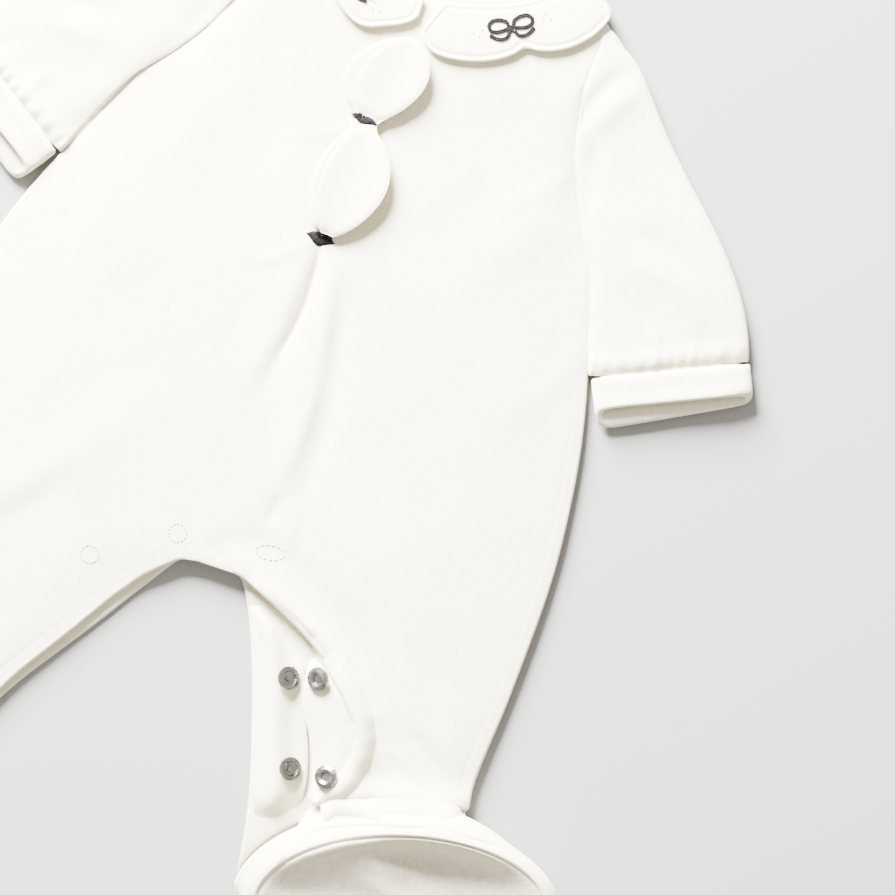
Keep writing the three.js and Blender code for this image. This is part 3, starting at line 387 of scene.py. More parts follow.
def gather_heights(line, offset, spread, pitch, height, x, y):
    """Height of small gathers across a sewn line, in millimetres."""
    away, side = line_distance(x, y, line)
    signed = np.copysign(away, side)
    (x0, y0), (x1, y1) = line[0], line[-1]
    length = math.hypot(x1 - x0, y1 - y0)
    along = ((x - x0) * (x1 - x0) + (y - y0) * (y1 - y0)) / length
    wander = GATHER_WANDER * np.sin(along / GATHER_WANDER_LENGTH)
    wave = np.sin(2 * math.pi * along / pitch + wander)
    return height * wave * np.exp(-(((signed - offset) / spread) ** 2))


def slack_waves(x, y):
    """Slow waves of slack cloth, between -1 and 1."""
    length, wander, turn = SLACK_ACROSS
    across = np.sin(x / length + wander * np.sin(y / turn))
    length, wander, turn = SLACK_ALONG
    return across * np.sin(y / length + wander * np.sin(x / turn))


def rim_distance(places, rims):
    """Plan distance from each vertex to the nearest of the rim's places."""
    tree = KDTree(len(rims))
    for order, rim in enumerate(rims):
        tree.insert((rim.x, rim.y, 0), order)
    tree.balance()
    return np.array([tree.find((x, y, 0))[2] for x, y in places[:, :2]])


def soft_shell(name, node, folds=(), rolls=(), deep=(), edge=(), rim_step=0.0, edge_top=ABOVE_ALL,
               slack=0.0, gathers=None, material=None, fine=True, hand=1):
    """A node's shell: rounded, creased as listed and with its edge profile on the upper side.

    Deep rolls move both faces of the cloth. The edge profile fades out above its top.
    The hand is -1 for the wearer's right side.
    """
    mesh = rounded_mesh(name, node, fine)
    places, normals = coordinates(mesh)
    x, y = hand * places[:, 0] / MM, (places[:, 1] - COLLAR_TO_ORIGIN) / MM
    upper = smooth(normals[:, 2], *UPPER_FADE)
    lift = fold_heights(folds, x, y) + roll_heights(rolls, x, y)
    if gathers:
        lift = lift + gather_heights(*gathers, x, y)
    if slack:
        lift = lift + slack * slack_waves(x, y)
    if edge:
        rim = even_line(rim_chain(node), rim_step, closed=True)
        distance = rim_distance(places, rim) / MM
        shown = 1 - smooth(y, edge_top - EDGE_FADE, edge_top)
        for middle, spread, height in edge:
            lift = lift + shown * height * np.exp(-(((distance - middle) / spread) ** 2))
    places[:, 2] += (upper * lift + roll_heights(deep, x, y)) * MM
    mesh.vertices.foreach_set("co", places.ravel())
    mesh.update()
    piece = new_piece(name, mesh, material or IVORY)
    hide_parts(node)
    return piece


# Creases of the front, a row for each: name, ends, half width and height in millimetres
FRONT_CREASES = [
    ("pleat crease", -5, -109, -2.5, -160, 1.6, -1.5),
    ("pleat left lip", -9, -110, -10, -176, 3.4, 0.7),
    ("pleat right lip", 1.5, -112, 20, -214, 3.2, 0.8),
    ("second trough", 10, -120, 30, -226, 4.5, -0.7),
    ("tack pull left", -9, -56, -34, -70, 2.4, 0.5),
    ("tack pull low", -8, -108, -30, -128, 2.6, 0.5),
    ("tack pull right", -1, -108, 26, -132, 2.8, 0.5),
    ("crotch dimple", 20, -215, 22, -229, 3.0, -0.9),
    ("crotch ridge", 27, -214, 33, -236, 3.2, 0.6),
    ("hip roll", 58, -196, 108, -272, 10, 0.7),
    ("knee trough", 66, -232, 104, -276, 6, -0.7),
    ("ankle tuck", 108, -286, 136, -302, 3.5, -0.9),
    ("ankle ridge", 104, -296, 132, -309, 3.0, 0.7),
    ("side drag", 118, -100, 96, -150, 6, 0.6),
    ("arm drag", 86, -30, 60, -66, 5, 0.6),
    ("chest trough", 52, -40, 36, -98, 9, -0.5),
    ("right hip roll", -52, -200, -104, -276, 10, 0.7),
    ("right knee trough", -62, -236, -98, -282, 6, -0.7),
    ("right ankle tuck", -104, -290, -134, -304, 3.5, -0.9),
    ("right arm drag", -84, -32, -58, -70, 5, 0.6),
    ("right chest trough", -54, -46, -40, -104, 9, -0.5),
    ("right side drag", -116, -104, -92, -152, 6, 0.6),
]
SLEEVE_CREASES = [
    ("head wedge", 78, -18, 88, 12, 3.6, -1.5),
    ("head ridge", 84, -22, 97, 8, 4.4, 0.9),
    ("elbow trough", 112, -52, 150, -58, 4.5, -0.6),
    ("elbow ridge", 116, -66, 158, -70, 4.0, 0.5),
    ("cuff pull", 138, -84, 150, -104, 3.0, 0.6),
    ("cuff hollow", 158, -76, 168, -96, 3.2, -0.6),
]


# Long rolls and grooves: name, line, how far beside it, half width and height in millimetres
INSEAM_CREST = [
    (20.6, -254), (42.6, -259.9), (62, -268), (78, -279), (91, -290), (95, -305), (92, -322),
]
FRONT_HEM = [(86, -333), (97, -324), (108, -319.5), (120, -316.5), (135, -313), (150, -309)]
FRONT_ROLLS = [
    ("inseam crest, upper part", INSEAM_CREST[:3] + [(70, -273)], -1.5, 5.0, 2.4),
    ("inseam crest, lower part", [(58, -266)] + INSEAM_CREST[3:], -1.5, 6.0, 2.8),
    ("inseam trough", INSEAM_CREST, -17, 5.0, -0.6),
    ("ankle rise", FRONT_HEM, -1.0, 7.0, 4.2),
]
FACING_TOP = [(42, -264), (62, -270.5), (84, -274)]
FACING_DEEP = [("facing end under the crest", FACING_TOP, 0, 6.5, -6.5)]
STRIP_DEEP = [
    ("wedge at the top of the opening", [(34, -254), (49, -268), (60, -282)], 0, 5.5, -2.2),
    ("upper end of the strip", [(16, -257), (46, -266)], 0, 5.0, -1.2),
    ("lower end of the strip", [(54, -359), (70, -346), (84, -337), (94, -328)], 0, 6.5, -2.8),
]
ANKLE_ROLL = [
    (84.5, -345), (88, -337), (95.5, -329), (106, -324.5), (122.6, -321), (144.7, -317.5), (160, -315),
]
CREST_LINE = [
    (57, -265), (70, -271.5), (82, -280), (91, -289), (95.6, -297),
    (97.2, -305), (96.4, -314), (93, -322), (87.5, -330),
]
WRIST_LINE = [(124.5, -117), (183.8, -84.4)]
SLEEVE_ROLLS = [
    ("puff above the cuff", WRIST_LINE, -5.5, 3.6, 1.0),
    ("cuff seam", WRIST_LINE, -0.6, 1.3, -0.9),
    ("underarm trough", [(80, -24), (90, -58), (106, -90), (122, -116)], -6.5, 5.0, -0.9),
]
SLEEVE_GATHERS = (WRIST_LINE, -3.0, 3.4, 6.1, 0.3)
CUFF_MOUTH = [(128, -134), (150, -122.5), (172, -109.5), (190, -99)]
CUFF_DEEP = [("cuff mouth", CUFF_MOUTH, 0, 6.0, 2.6)]
FOOT_SEAM = [
    (86, -352), (91, -342), (103, -334.2), (118.1, -327.8), (138, -320.7), (157.3, -317.7), (176, -316),
]
FOOT_ROLLS = [
    ("foot seam", FOOT_SEAM, 0, 1.1, -1.3),
    ("ankle roll", FOOT_SEAM, -4.5, 3.5, 0.8),
]
SOLE_HOLLOW = [(116, -339), (134, -334), (152, -330), (172, -328), (188, -330)]
SOLE_DEEP = [
    ("hollow inside the rim", SOLE_HOLLOW, 0, 6.5, -1.5),
    ("low hollow", [(78, -362), (90, -368), (104, -370)], 0, 6.0, -1.4),
]
SOLE_ROLLS = [("sole ridge", [(106, -342), (122, -344), (137, -343.5), (150, -348)], 0, 4.5, 1.1)]
TACK_DIPS = [
    ("upper tack", -14, -53, 3, -53, 3.4, -0.9),
    ("lower tack", -12, -107, 1, -107, 3.4, -0.9),
]

# Edge profiles: way in from the rim, half width and height in millimetres
FRONT_EDGE = [(1.0, 1.0, 0.25), (6.0, 0.9, -0.12)]
FRONT_EDGE_TOP = -116
COLLAR_EDGE = [(0.8, 0.8, 0.3), (2.4, 0.5, -0.42)]
PETAL_EDGE = [(0.4, 1.2, -0.3)]

HANDS = (("left", 1), ("right", -1))
front = soft_shell(
    "front_cloth", "front", FRONT_CREASES, FRONT_ROLLS, edge=FRONT_EDGE, rim_step=0.8 * MM,
    edge_top=FRONT_EDGE_TOP, slack=0.14,
)
back = soft_shell("back_cloth", "back", material=IVORY_BACK_PAINTED_SHADE, fine=False)
sleeves, cuffs, collars, feet, soles = [], [], [], [], []
for side, hand in HANDS:
    sleeves.append(soft_shell(
        f"sleeve_cloth_{side}", f"sleeve_{side}", SLEEVE_CREASES, SLEEVE_ROLLS, slack=0.1,
        gathers=SLEEVE_GATHERS, hand=hand,
    ))
    cuffs.append(soft_shell(
        f"cuff_cloth_{side}", f"cuff_{side}", deep=CUFF_DEEP, material=IVORY_NAP, hand=hand,
    ))
    collars.append(soft_shell(
        f"collar_cloth_{side}", f"collar_{side}", edge=COLLAR_EDGE, rim_step=0.6 * MM,
    ))
    feet.append(soft_shell(
        f"foot_cloth_{side}", f"foot_upper_{side}", rolls=FOOT_ROLLS, hand=hand,
    ))
    soles.append(soft_shell(
        f"sole_cloth_{side}", f"sole_{side}", rolls=SOLE_ROLLS, deep=SOLE_DEEP,
        material=IVORY_SOLE_PAINTED_SHADE, hand=hand,
    ))
petals = [
    soft_shell(
        f"petal_cloth_{layer}", f"petals_{layer}", TACK_DIPS, edge=PETAL_EDGE, rim_step=0.5 * MM,
    )
    for layer in ("lower", "upper")
]
strip = soft_shell("leg_strip_cloth", "leg_strip", deep=STRIP_DEEP)
facing = soft_shell("leg_facing_cloth", "leg_facing", deep=FACING_DEEP)

# Sewn edges: the sleeves are drawn up to the front, so that their seam has no gap
FACING_UP = 0.2
GAP_ROW = 2.5 * MM
GAP_ROWS_SMOOTHED = 5
GAP_LEFT = 0.1 * MM
GAP_WIDEST = 6 * MM
GAP_SOFTNESS = 16 * MM
ARMHOLE_FROM = -117
ARMHOLE_TO = 20
SHOULDER_POINT = (73.6, 24.2)
SHOULDER_REACH = 9 * MM


def plan_tree(piece, steepest=-1.0, lowest=-1.0):
    """Search tree of a piece's vertices seen from above, without those too steep or too low."""
    tree = KDTree(len(piece.data.vertices))
    for order, vertex in enumerate(piece.data.vertices):
        if vertex.normal.z >= steepest and vertex.co.z >= lowest:
            tree.insert((vertex.co.x, vertex.co.y, 0), order)
    tree.balance()
    return tree


def close_gap(piece, other, lowest, highest):
    """Moves a piece sideways until its edge meets the other piece, row by row up the plan."""
    tree = plan_tree(other)
    found, near = {}, []
    for vertex in piece.data.vertices:
        flat = Vector((vertex.co.x, vertex.co.y, 0))
        hit, _, distance = tree.find(flat)
        near.append(distance)
        row = int(math.floor(vertex.co.y / GAP_ROW))
        if distance < found.get(row, (GAP_WIDEST, 0))[0]:
            found[row] = (distance, 1 if hit.x > flat.x else -1)
    rows = sorted(found)
    spans = np.array([found[row][0] - GAP_LEFT for row in rows])
    padded = np.pad(spans, GAP_ROWS_SMOOTHED // 2, mode="edge")
    spans = np.convolve(padded, np.ones(GAP_ROWS_SMOOTHED) / GAP_ROWS_SMOOTHED, mode="valid")
    way = np.sign(sum(found[row][1] for row in rows))
    heights = (np.array(rows) + 0.5) * GAP_ROW
    for vertex, distance in zip(piece.data.vertices, near):
        if lowest < vertex.co.y < highest:
            span = float(np.interp(vertex.co.y, heights, spans))
            fade = 1 - smooth(np.array(distance - span), 0, GAP_SOFTNESS)
            vertex.co.x += way * max(span, 0) * float(fade)
    piece.data.update()


def fill_corner(piece, x, y, reach):
    """Draws a rounded corner of a piece back out to its sewn point."""
    corner = Vector((*to_plan(x, y), 0))
    nearest, _, _ = plan_tree(piece).find(corner)
    step = corner - nearest
    for vertex in piece.data.vertices:
        away = math.hypot(vertex.co.x - nearest.x, vertex.co.y - nearest.y)
        share = 1 - float(smooth(np.array(away), 0, reach))
        vertex.co.x += step.x * share
        vertex.co.y += step.y * share
    piece.data.update()


for sleeve, (_, hand) in zip(sleeves, HANDS):
    close_gap(sleeve, front, to_plan(0, ARMHOLE_FROM)[1], to_plan(0, ARMHOLE_TO)[1])
    for piece in (sleeve, front):
        fill_corner(piece, hand * SHOULDER_POINT[0], SHOULDER_POINT[1], SHOULDER_REACH)


# Where thread and stitches lie: straight down onto whatever cloth is highest
def tree_of(piece):
    corners = [vertex.co.copy() for vertex in piece.data.vertices]
    faces = [tuple(polygon.vertices) for polygon in piece.data.polygons]
    return BVHTree.FromPolygons(corners, faces)


cloths = [front, back, strip, facing, *sleeves, *cuffs, *collars, *feet, *soles, *petals]
cloth_trees = [tree_of(piece) for piece in cloths]
SKY = 0.1


def surface(x, y):
    """Highest cloth at a place of the plan, with its normal."""
    best = None
    for tree in cloth_trees:
        place, normal, _, _ = tree.ray_cast(Vector((x, y, SKY)), Vector((0, 0, -1)))
        if place is not None and (best is None or place.z > best[0].z):
            best = (place, normal)
    return best or (Vector((x, y, 0)), Vector((0, 0, 1)))


# Seams: a soft strip of cloth that closes the gap between two sewn pieces. Each seam has how near the
# two pieces lie, the strip's half width and how deep it sags, where less than nothing is a bulge.
ARMHOLE_SEAM = (1.6 * MM, 1.8 * MM, 0.2 * MM)
CUFF_SEAM = (1.6 * MM, 1.6 * MM, 0.7 * MM)
HEM_SEAM = (4.5 * MM, 3.8 * MM, -0.5 * MM)
SOLE_SEAM = (2.6 * MM, 2.2 * MM, 0.25 * MM)
ARMHOLE_ENDS = ((73, 24), (121, -116))
HEM_ENDS = ((60, -335), (150, -300))
SOLE_CENTRE = (137.5, -357)
INSEAM_ROLL = (5.2 * MM, -3.0 * MM)
ANKLE_ROLL_FORM = (4.2 * MM, -1.5 * MM)
FOOT_FLOOR = 4 * MM
SEAM_PLACES = 7
SEAM_STEP = 1.6 * MM
SEAM_TAPER = 10 * MM
HEM_TAPERS = (7 * MM, 4 * MM)
TAPER_START = -0.1
END_WIDTH = 0.3
END_DROP = 1.0 * MM
END_RISE = 0.7 * MM
SEAM_LOWEST = 0.2 * MM
BIN_LENGTH = 1.5 * MM
BIN_DEGREES = 3


def near_line(piece, other, reach, lowest=0.0):
    """Middles between the upper faces of two pieces above a height, where they lie close in plan."""
    tree = plan_tree(other, FACING_UP, lowest)
    found = {}
    for vertex in piece.data.vertices:
        if vertex.normal.z < FACING_UP:
            continue
        flat = Vector((vertex.co.x, vertex.co.y, 0))
        hit, _, distance = tree.find(flat)
        if distance < reach:
            middle = (flat + hit) / 2
            found[(round(middle.x, 3), round(middle.y, 3))] = middle
    return list(found.values())


def seam_valley(name, line, half_width, depth, taper=SEAM_TAPER):
    """A strip along a line that hangs between the cloth on its two sides and narrows at its ends."""
    spots = even_line(line, SEAM_STEP)
    corners, faces = [], []
    closed = (line[0] - line[-1]).length < taper
    for order, spot in enumerate(spots):
        before, after = spots[max(order - 1, 0)], spots[min(order + 1, len(spots) - 1)]
        way = (after - before).normalized()
        aside = Vector((-way.y, way.x, 0))
        from_end = min((spot - spots[0]).length, (spot - spots[-1]).length)
        full = 1.0 if closed else float(smooth(np.array(from_end), TAPER_START * taper, taper))
        reach = half_width * (END_WIDTH + (1 - END_WIDTH) * full)
        left, _ = surface(*(spot + aside * reach)[:2])
        right, _ = surface(*(spot - aside * reach)[:2])
        for place in range(SEAM_PLACES):
            share = place / (SEAM_PLACES - 1)
            flat = spot + aside * reach * (1 - 2 * share)
            level = left.z + (right.z - left.z) * share
            sag = full * depth * (1 - (1 - 2 * share) ** 2) + END_DROP - END_RISE * full
            corners.append((flat.x, flat.y, max(level - sag, SEAM_LOWEST)))
    for row in range(len(spots) - 1):
        for place in range(SEAM_PLACES - 1):
            first = row * SEAM_PLACES + place
            faces.append((first, first + 1, first + SEAM_PLACES + 1, first + SEAM_PLACES))
    mesh = bpy.data.meshes.new(name)
    mesh.from_pydata(corners, [], faces)
    mesh.update()
    if sum(polygon.normal.z for polygon in mesh.polygons) < 0:
        mesh.flip_normals()
    piece = new_piece(name, mesh, IVORY)
    return piece


def binned(places, bin_of):
    """The middle of the places in each bin, in the order of the bins, without those in none."""
    bins = {}
    for place in places:
        key = bin_of(place)
        if key is not None:
            bins.setdefault(key, []).append(place)
    return [sum(bins[key], Vector()) / len(bins[key]) for key in sorted(bins)]


def sorted_along(places, start, end):
    """Places in order along the way from start to end."""
    start, end = Vector((*start, 0)), Vector((*end, 0))
    way = (end - start).normalized()

    def bin_of(place):
        along = (place - start).dot(way)
        return int(along / BIN_LENGTH) if 0 <= along <= (end - start).length else None

    return binned(places, bin_of)


def sorted_round(places, centre):
    """Places in order round a centre, closed to a ring."""
    def bin_of(place):
        away = place - centre
        return int(math.degrees(math.atan2(away.y, away.x)) / BIN_DEGREES)

    ring = binned(places, bin_of)
    return ring + ring[:1]


def open_seam(name, piece, other, seam, ends, hand, taper=SEAM_TAPER):
    """The strip of a seam that runs from one end to another."""
    near, half_width, depth = seam
    start, end = (to_plan(hand * x, y) for x, y in ends)
    line = sorted_along(near_line(piece, other, near), start, end)
    seam_valley(name, line, half_width, depth, taper)


def sole_seam(name, sole, foot, hand):
    """The strip of the seam all round a sole."""
    near, half_width, depth = SOLE_SEAM
    centre = plan_line([SOLE_CENTRE], hand)[0]
    line = sorted_round(near_line(sole, foot, near, lowest=FOOT_FLOOR), centre)
    seam_valley(name, line, half_width, depth)


def sewn_seams():
    pairs = zip(HANDS, sleeves, cuffs, feet, soles, HEM_TAPERS)
    for (side, hand), sleeve, cuff, foot, sole, taper in pairs:
        open_seam(f"armhole_seam_{side}", sleeve, front, ARMHOLE_SEAM, ARMHOLE_ENDS, hand)
        open_seam(f"cuff_seam_{side}", cuff, sleeve, CUFF_SEAM, WRIST_LINE, hand)
        open_seam(f"hem_seam_{side}", foot, front, HEM_SEAM, HEM_ENDS, hand, taper)
        sole_seam(f"sole_seam_{side}", sole, foot, hand)


# Thread: each stitch is a small spindle that follows the cloth from one place to another
STITCH_SIDES = 6
STITCH_POINTS = 5
STITCH_SWELL = (0.45, 0.85, 1.0, 0.85, 0.45)
STITCH_DIP = -0.9
SHORTEST_SIDE = 1e-4
COVER_REACH = 1.3 * MM
COVER_ANGLES = (0.4, 2.5, 4.6)
COVER_DROP = 0.35 * MM


def spindles(name, stitches, material):
    """One piece for many stitches: each is its places along the cloth and its middle radius."""
    corners, faces = [], []
    for places, radius in stitches:
        first = len(corners)
        for order, place in enumerate(places):
            before, after = places[max(order - 1, 0)], places[min(order + 1, len(places) - 1)]
            way = (after - before).normalized()
            side = way.cross(Vector((0, 0, 1)))
            side = side.normalized() if side.length > SHORTEST_SIDE else Vector((1, 0, 0))
            up = side.cross(way)
            for step in range(STITCH_SIDES):
                angle = 2 * math.pi * step / STITCH_SIDES
                reach = radius * STITCH_SWELL[order]
                corners.append(place + reach * (math.cos(angle) * side + math.sin(angle) * up))
        for ring in range(len(places) - 1):
            for step in range(STITCH_SIDES):
                after = (step + 1) % STITCH_SIDES
                low, high = first + ring * STITCH_SIDES, first + (ring + 1) * STITCH_SIDES
                faces.append((low + step, high + step, high + after, low + after))
        last = first + (len(places) - 1) * STITCH_SIDES
        faces.append(tuple(first + step for step in range(STITCH_SIDES)))
        faces.append(tuple(last + step for step in reversed(range(STITCH_SIDES))))
    mesh = bpy.data.meshes.new(name)
    mesh.from_pydata([tuple(corner) for corner in corners], [], faces)
    mesh.update()
    piece = new_piece(name, mesh, material)
    return piece


def cover_height(x, y):
    """Height of thread laid over cloth: it bridges small steps instead of dropping down them."""
    here = surface(x, y)[0].z
    around = [
        surface(x + COVER_REACH * math.cos(angle), y + COVER_REACH * math.sin(angle))[0].z
        for angle in COVER_ANGLES
    ]
    return max(here, (here + sum(around)) / 4, max(around) - COVER_DROP)


def laid_stitch(x0, y0, x1, y1, radius, rise, bridging=False):
    """A stitch that lies along the cloth and dips into it at both ends. The rise is in radii."""
    places = []
    for order in range(STITCH_POINTS):
        share = order / (STITCH_POINTS - 1)
        x, y = x0 + (x1 - x0) * share, y0 + (y1 - y0) * share
        level = cover_height(x, y) if bridging else surface(x, y)[0].z
        dip = STITCH_DIP if order in (0, STITCH_POINTS - 1) else rise
        places.append(Vector((x, y, level + dip * radius)))
    return places, radius


# Satin-stitched tacks of the placket, low hearts: name, centre, width, height and tilt
TACKS = [
    ("tack_upper", -8.4, -53.0, 12.4, 4.6, -0.04),
    ("tack_lower", -5.8, -107.5, 13.0, 6.6, 0.02),
]
SATIN_STEP = 0.36
SATIN_RADIUS = 0.27 * MM
SATIN_SLANTS = (-0.175, 0.25)
SATIN_RISES = (0.8, 1.5)
SATIN_RAGGED = 0.15
SATIN_FIRST = 0.2
SATIN_LAST = 0.1
HEART_TIP = 0.62
HEART_NOTCH = 0.55
HEART_INNER = 0.2
HEART_ROUND = 0.55
HEART_SIDE = 1.15
HEART_SLOPE = 0.25
HEART_LEAST = 0.4


def heart_span(across, height):
    """Lower and upper edge of a low heart at a share of its half width."""
    reach = abs(across)
    lobe = math.sin(math.pi * min(1, HEART_INNER + (1 - HEART_INNER) * reach)) ** HEART_ROUND
    top = height * (HEART_NOTCH + (1 - HEART_NOTCH) * lobe)
    bottom = height * HEART_TIP * reach ** HEART_SIDE
    return bottom, max(top * (1 - HEART_SLOPE * reach ** 3), bottom + HEART_LEAST)


def satin_tack(name, middle_x, middle_y, width, height, tilt):
    """Two layers of slanted threads that fill a low heart."""
    draw = random.Random(name)
    stitches = []
    for layer in (0, 1):
        x = -width / 2 + SATIN_FIRST + 0.5 * SATIN_STEP * layer
        while x < width / 2 - SATIN_LAST:
            low, high = heart_span(2 * x / width, height)
            low += draw.uniform(-SATIN_RAGGED, SATIN_RAGGED)
            high += draw.uniform(-SATIN_RAGGED, SATIN_RAGGED)
            slant = SATIN_SLANTS[layer] * (high - low)
            lean = tilt * x - height / 2
            x0, y0 = to_plan(middle_x + x - slant / 2, middle_y + low + lean)
            x1, y1 = to_plan(middle_x + x + slant / 2, middle_y + high + lean)
            radius = SATIN_RADIUS * draw.uniform(0.85, 1.1)
            stitches.append(laid_stitch(x0, y0, x1, y1, radius, SATIN_RISES[layer], bridging=True))
            x += SATIN_STEP
    return spindles(name, stitches, GREY_THREAD)


for row in TACKS:
    satin_tack(*row)
sewn_seams()
inseam_roll = seam_valley("inseam_roll", plan_line(CREST_LINE), *INSEAM_ROLL)
cloth_trees.append(tree_of(inseam_roll))
seam_valley("ankle_roll", plan_line(ANKLE_ROLL), *ANKLE_ROLL_FORM)

# Bow in chain stitch on each collar front, with a few knots beside it: millimetres from its knot
BOW_CENTRE = (34.6, 7.6)
BOW_TURN = math.radians(33)
BOW_SCALE = 1.13
BOW_DROP = -7.0
BOW_BARS = [[(-1.0, 0.6), (1.0, 0.6)], [(-1.0, -0.7), (1.0, -0.7)]]
BOW_LOOP = [
    (0.9, 0.3), (1.2, 2.8), (3.4, 4.0), (6.6, 4.3), (8.4, 2.8), (8.2, 0.6), (5.8, -0.5), (3.0, -0.2),
    (0.9, 0.3),
]
BOW_TAIL = [(0.9, -1.0), (2.0, -3.0), (4.4, -3.6), (6.6, -2.7), (8.8, -1.0)]
BOW_KNOTS = [(-14.4, 0.6), (-12.6, -0.9), (-11.0, 1.4), (12.6, 1.6), (13.6, 3.4), (15.2, 0.9)]
KNOT_ANGLES = (0.3, 1.4, 2.4)
KNOT_HALF = 0.45
KNOT_RADIUS = 0.17 * MM
KNOT_RISE = 0.6
CHAIN_STEP = 1.0 * MM
CHAIN_RADIUS = 0.5 * MM
CHAIN_RISE = 0.9
CHAIN_HALF_WIDTH = 0.5 * MM
CHAIN_BACK, CHAIN_AHEAD = 0.1, 0.95
CHAIN_WIDE, CHAIN_NARROW = 1.25, 0.25


def chain(points):
    """Two rows of slanted stitches along a line of plan places, as a chain stitch lies."""
    spots = even_line([Vector((x, y, 0)) for x, y in points], CHAIN_STEP)
    stitches = []
    for spot, following in zip(spots, spots[1:]):
        way = (following - spot).normalized()
        aside = Vector((-way.y, way.x, 0))
        for side in (-1, 1):
            out = aside * side * CHAIN_HALF_WIDTH
            start = spot - way * CHAIN_STEP * CHAIN_BACK + out * CHAIN_WIDE
            end = spot + way * CHAIN_STEP * CHAIN_AHEAD + out * CHAIN_NARROW
            stitches.append(laid_stitch(start.x, start.y, end.x, end.y, CHAIN_RADIUS, CHAIN_RISE))
    return stitches


def bow(side, hand):
    cosine, sine = math.cos(BOW_TURN), math.sin(BOW_TURN)

    def place(x, y):
        across = BOW_CENTRE[0] + BOW_SCALE * (x * cosine - y * sine)
        along = BOW_CENTRE[1] + BOW_SCALE * (x * sine + y * cosine)
        return to_plan(hand * across, along + (BOW_DROP if hand < 0 else 0))

    stitches = []
    for bar in BOW_BARS:
        stitches += chain([place(x, y) for x, y in bar])
    for half in (-1, 1):
        for line in (BOW_LOOP, BOW_TAIL):
            stitches += chain([place(half * x, y) for x, y in line])
    spindles(f"bow_{side}", stitches, GREY_THREAD)
    knots = []
    for x, y in BOW_KNOTS:
        for angle in KNOT_ANGLES:
            across, along = KNOT_HALF * math.cos(angle), KNOT_HALF * math.sin(angle)
            ends = (*place(x - across, y - along), *place(x + across, y + along))
            knots.append(laid_stitch(*ends, KNOT_RADIUS, KNOT_RISE))
    spindles(f"bow_knots_{side}", knots, BEIGE_THREAD)


for side, hand in HANDS:
    bow(side, hand)

# Rings of white stitches where snaps are set behind the cloth: centre, half axes and turn in degrees
SNAP_RINGS = [
    (-13.0, -247.0, 3.9, 3.9, 0),
    (27.0, -239.2, 6.2, 3.2, 12),
    (-44.0, -270.0, 3.9, 3.7, 0),
    (56.5, -283.5, 3.6, 3.2, 0),
]
RING_STITCHES = 15
RING_PARTS = (0.12, 0.88)
RING_RADIUS = 0.27 * MM
RING_RISE = 0.6


def stitched_ring(middle_x, middle_y, wide, high, turn):
    cosine, sine = math.cos(math.radians(turn)), math.sin(math.radians(turn))
    stitches = []
    for step in range(RING_STITCHES):
        ends = []
        for part in RING_PARTS:
            angle = 2 * math.pi * (step + part) / RING_STITCHES
            x, y = wide * math.cos(angle), high * math.sin(angle)
            ends += to_plan(middle_x + x * cosine - y * sine, middle_y + x * sine + y * cosine)
        stitches.append(laid_stitch(*ends, RING_RADIUS, RING_RISE))
    return stitches


spindles("snap_rings", [stitch for row in SNAP_RINGS for stitch in stitched_ring(*row)], WHITE_THREAD)

# Overlocked edges: slanted threads over an edge, with a chain along it. Each edge has how far in the
# threads reach and their step.
CREST_EDGE = [(21, -257.5), (43, -263), (63, -272), (79, -284), (88, -293)]
CUFF_OVERLOCK = (1.3 * MM, 1.1 * MM)
FOOT_OVERLOCK = (1.2 * MM, 1.1 * MM)
CREST_OVERLOCK = (1.5 * MM, 0.8 * MM)
OVERLOCK_RADIUS = 0.17 * MM
OVERLOCK_CHAIN_RADIUS = 0.9 * OVERLOCK_RADIUS
OVERLOCK_RISE = 0.5
OVERLOCK_OUT = 0.15 * MM
OVERLOCK_SLANT = 0.7
LOWEST_CLOTH = 1.0 * MM


def overlock(name, line, inward, reach, step):
    draw = random.Random(name)
    spots = even_line(line, step)
    stitches = []
    for spot, following in zip(spots, spots[1:]):
        way = following - spot
        aside = Vector((-way.y, way.x, 0)).normalized() * inward
        deep = reach * draw.uniform(0.8, 1.1)
        start = spot - aside * OVERLOCK_OUT
        end = spot + aside * deep + way * OVERLOCK_SLANT
        if min(surface(start.x, start.y)[0].z, surface(end.x, end.y)[0].z) < LOWEST_CLOTH:
            continue
        ahead = end + way
        for a, b, radius in ((start, end, OVERLOCK_RADIUS), (end, ahead, OVERLOCK_CHAIN_RADIUS)):
            stitches.append(laid_stitch(a.x, a.y, b.x, b.y, radius, OVERLOCK_RISE))
    spindles(name, stitches, IVORY_THREAD)


for side, hand in HANDS:
    overlock(f"cuff_overlock_{side}", plan_line(WRIST_LINE, hand), hand, *CUFF_OVERLOCK)
    overlock(f"foot_overlock_{side}", plan_line(FOOT_SEAM, hand), -hand, *FOOT_OVERLOCK)
overlock("crest_overlock", plan_line(CREST_EDGE), 1, *CREST_OVERLOCK)

# Snaps: the frame's own rings, in nickel
for name in ("snap_stud_1", "snap_stud_2", "snap_socket_1", "snap_socket_2"):
    ring = nodes[name]
    ring.data.materials.clear()
    ring.data.materials.append(NICKEL)

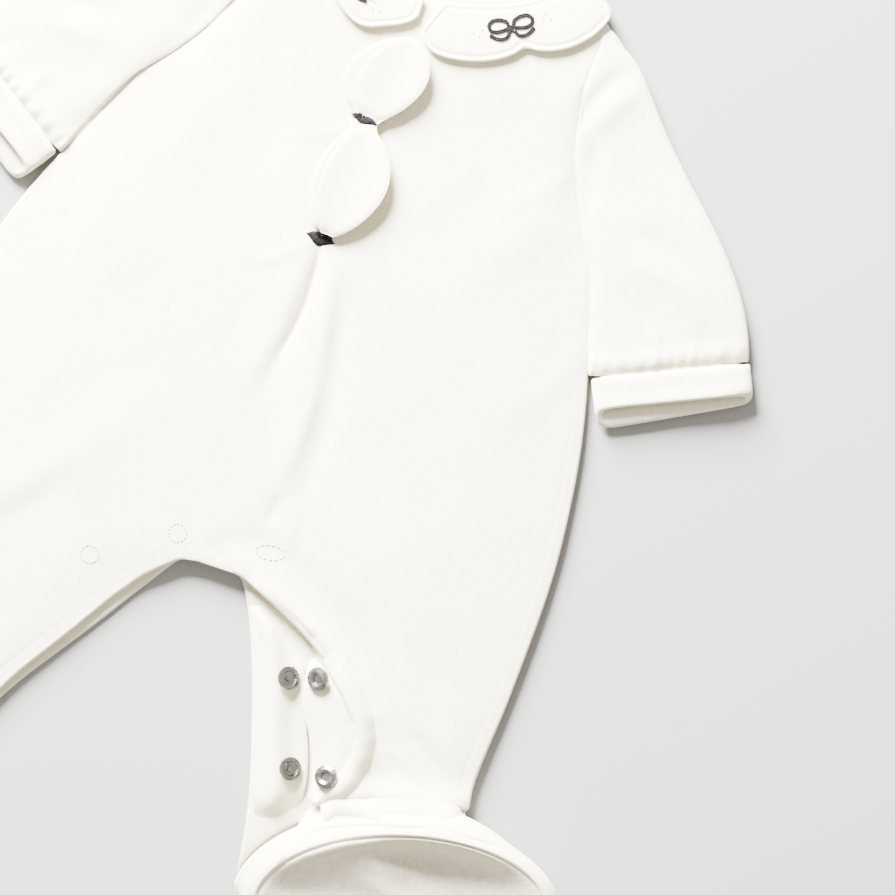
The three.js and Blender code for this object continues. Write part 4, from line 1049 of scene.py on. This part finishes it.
# Stage: floor, light and camera
FLOOR_REACH = 3.0
FLOOR_NOISE = (3, 2)
FLOOR_TONES = ((0.200, 0.2008, 0.2055), (0.207, 0.2078, 0.2125))
STUDIO_TONE = (1.0, 0.935, 0.83, 1)
STUDIO_STRENGTH = 1.6
KEY_PLACE = (-0.99, 1.13, 0.82)
KEY_TARGET = (0.05, 0, 0)
KEY_SIZE = 0.9
KEY_POWER = 1020
KEY_TONE = (1.0, 0.985, 0.96)

floor_mesh = bpy.data.meshes.new("floor")
floor_mesh.from_pydata(
    [(-FLOOR_REACH, -FLOOR_REACH, 0), (FLOOR_REACH, -FLOOR_REACH, 0),
     (FLOOR_REACH, FLOOR_REACH, 0), (-FLOOR_REACH, FLOOR_REACH, 0)], [], [(0, 1, 2, 3)],
)
floor = bpy.data.objects.new("floor", floor_mesh)
bpy.context.scene.collection.objects.link(floor)
floor_material, floor_tree, floor_shader = node_material("pale_floor")
tint(floor_tree, floor_shader, noise(floor_tree, *FLOOR_NOISE), *FLOOR_TONES)
floor_shader.inputs["Roughness"].default_value = 0.9
floor_mesh.materials.append(floor_material)

world = bpy.data.worlds.new("studio")
bpy.context.scene.world = world
world.use_nodes = True
world.node_tree.nodes["Background"].inputs["Color"].default_value = STUDIO_TONE
world.node_tree.nodes["Background"].inputs["Strength"].default_value = STUDIO_STRENGTH

key_light = bpy.data.lights.new("key", "AREA")
key_light.shape = "DISK"
key_light.size = KEY_SIZE
key_light.energy = KEY_POWER
key_light.color = KEY_TONE
key = bpy.data.objects.new("key", key_light)
key.location = KEY_PLACE
key.rotation_euler = (Vector(KEY_TARGET) - Vector(KEY_PLACE)).to_track_quat("-Z", "Y").to_euler()
bpy.context.scene.collection.objects.link(key)

lens = bpy.data.cameras.new("camera")
lens.sensor_width = SENSOR
lens.lens = SENSOR * CAMERA_HEIGHT / PHOTO_WIDTH
lens.clip_end = 50
camera = bpy.data.objects.new("camera", lens)
camera.location = (*PHOTO_CENTRE, CAMERA_HEIGHT)
camera.rotation_euler = (0, 0, PHOTO_TURN)
bpy.context.scene.collection.objects.link(camera)
bpy.context.scene.camera = camera
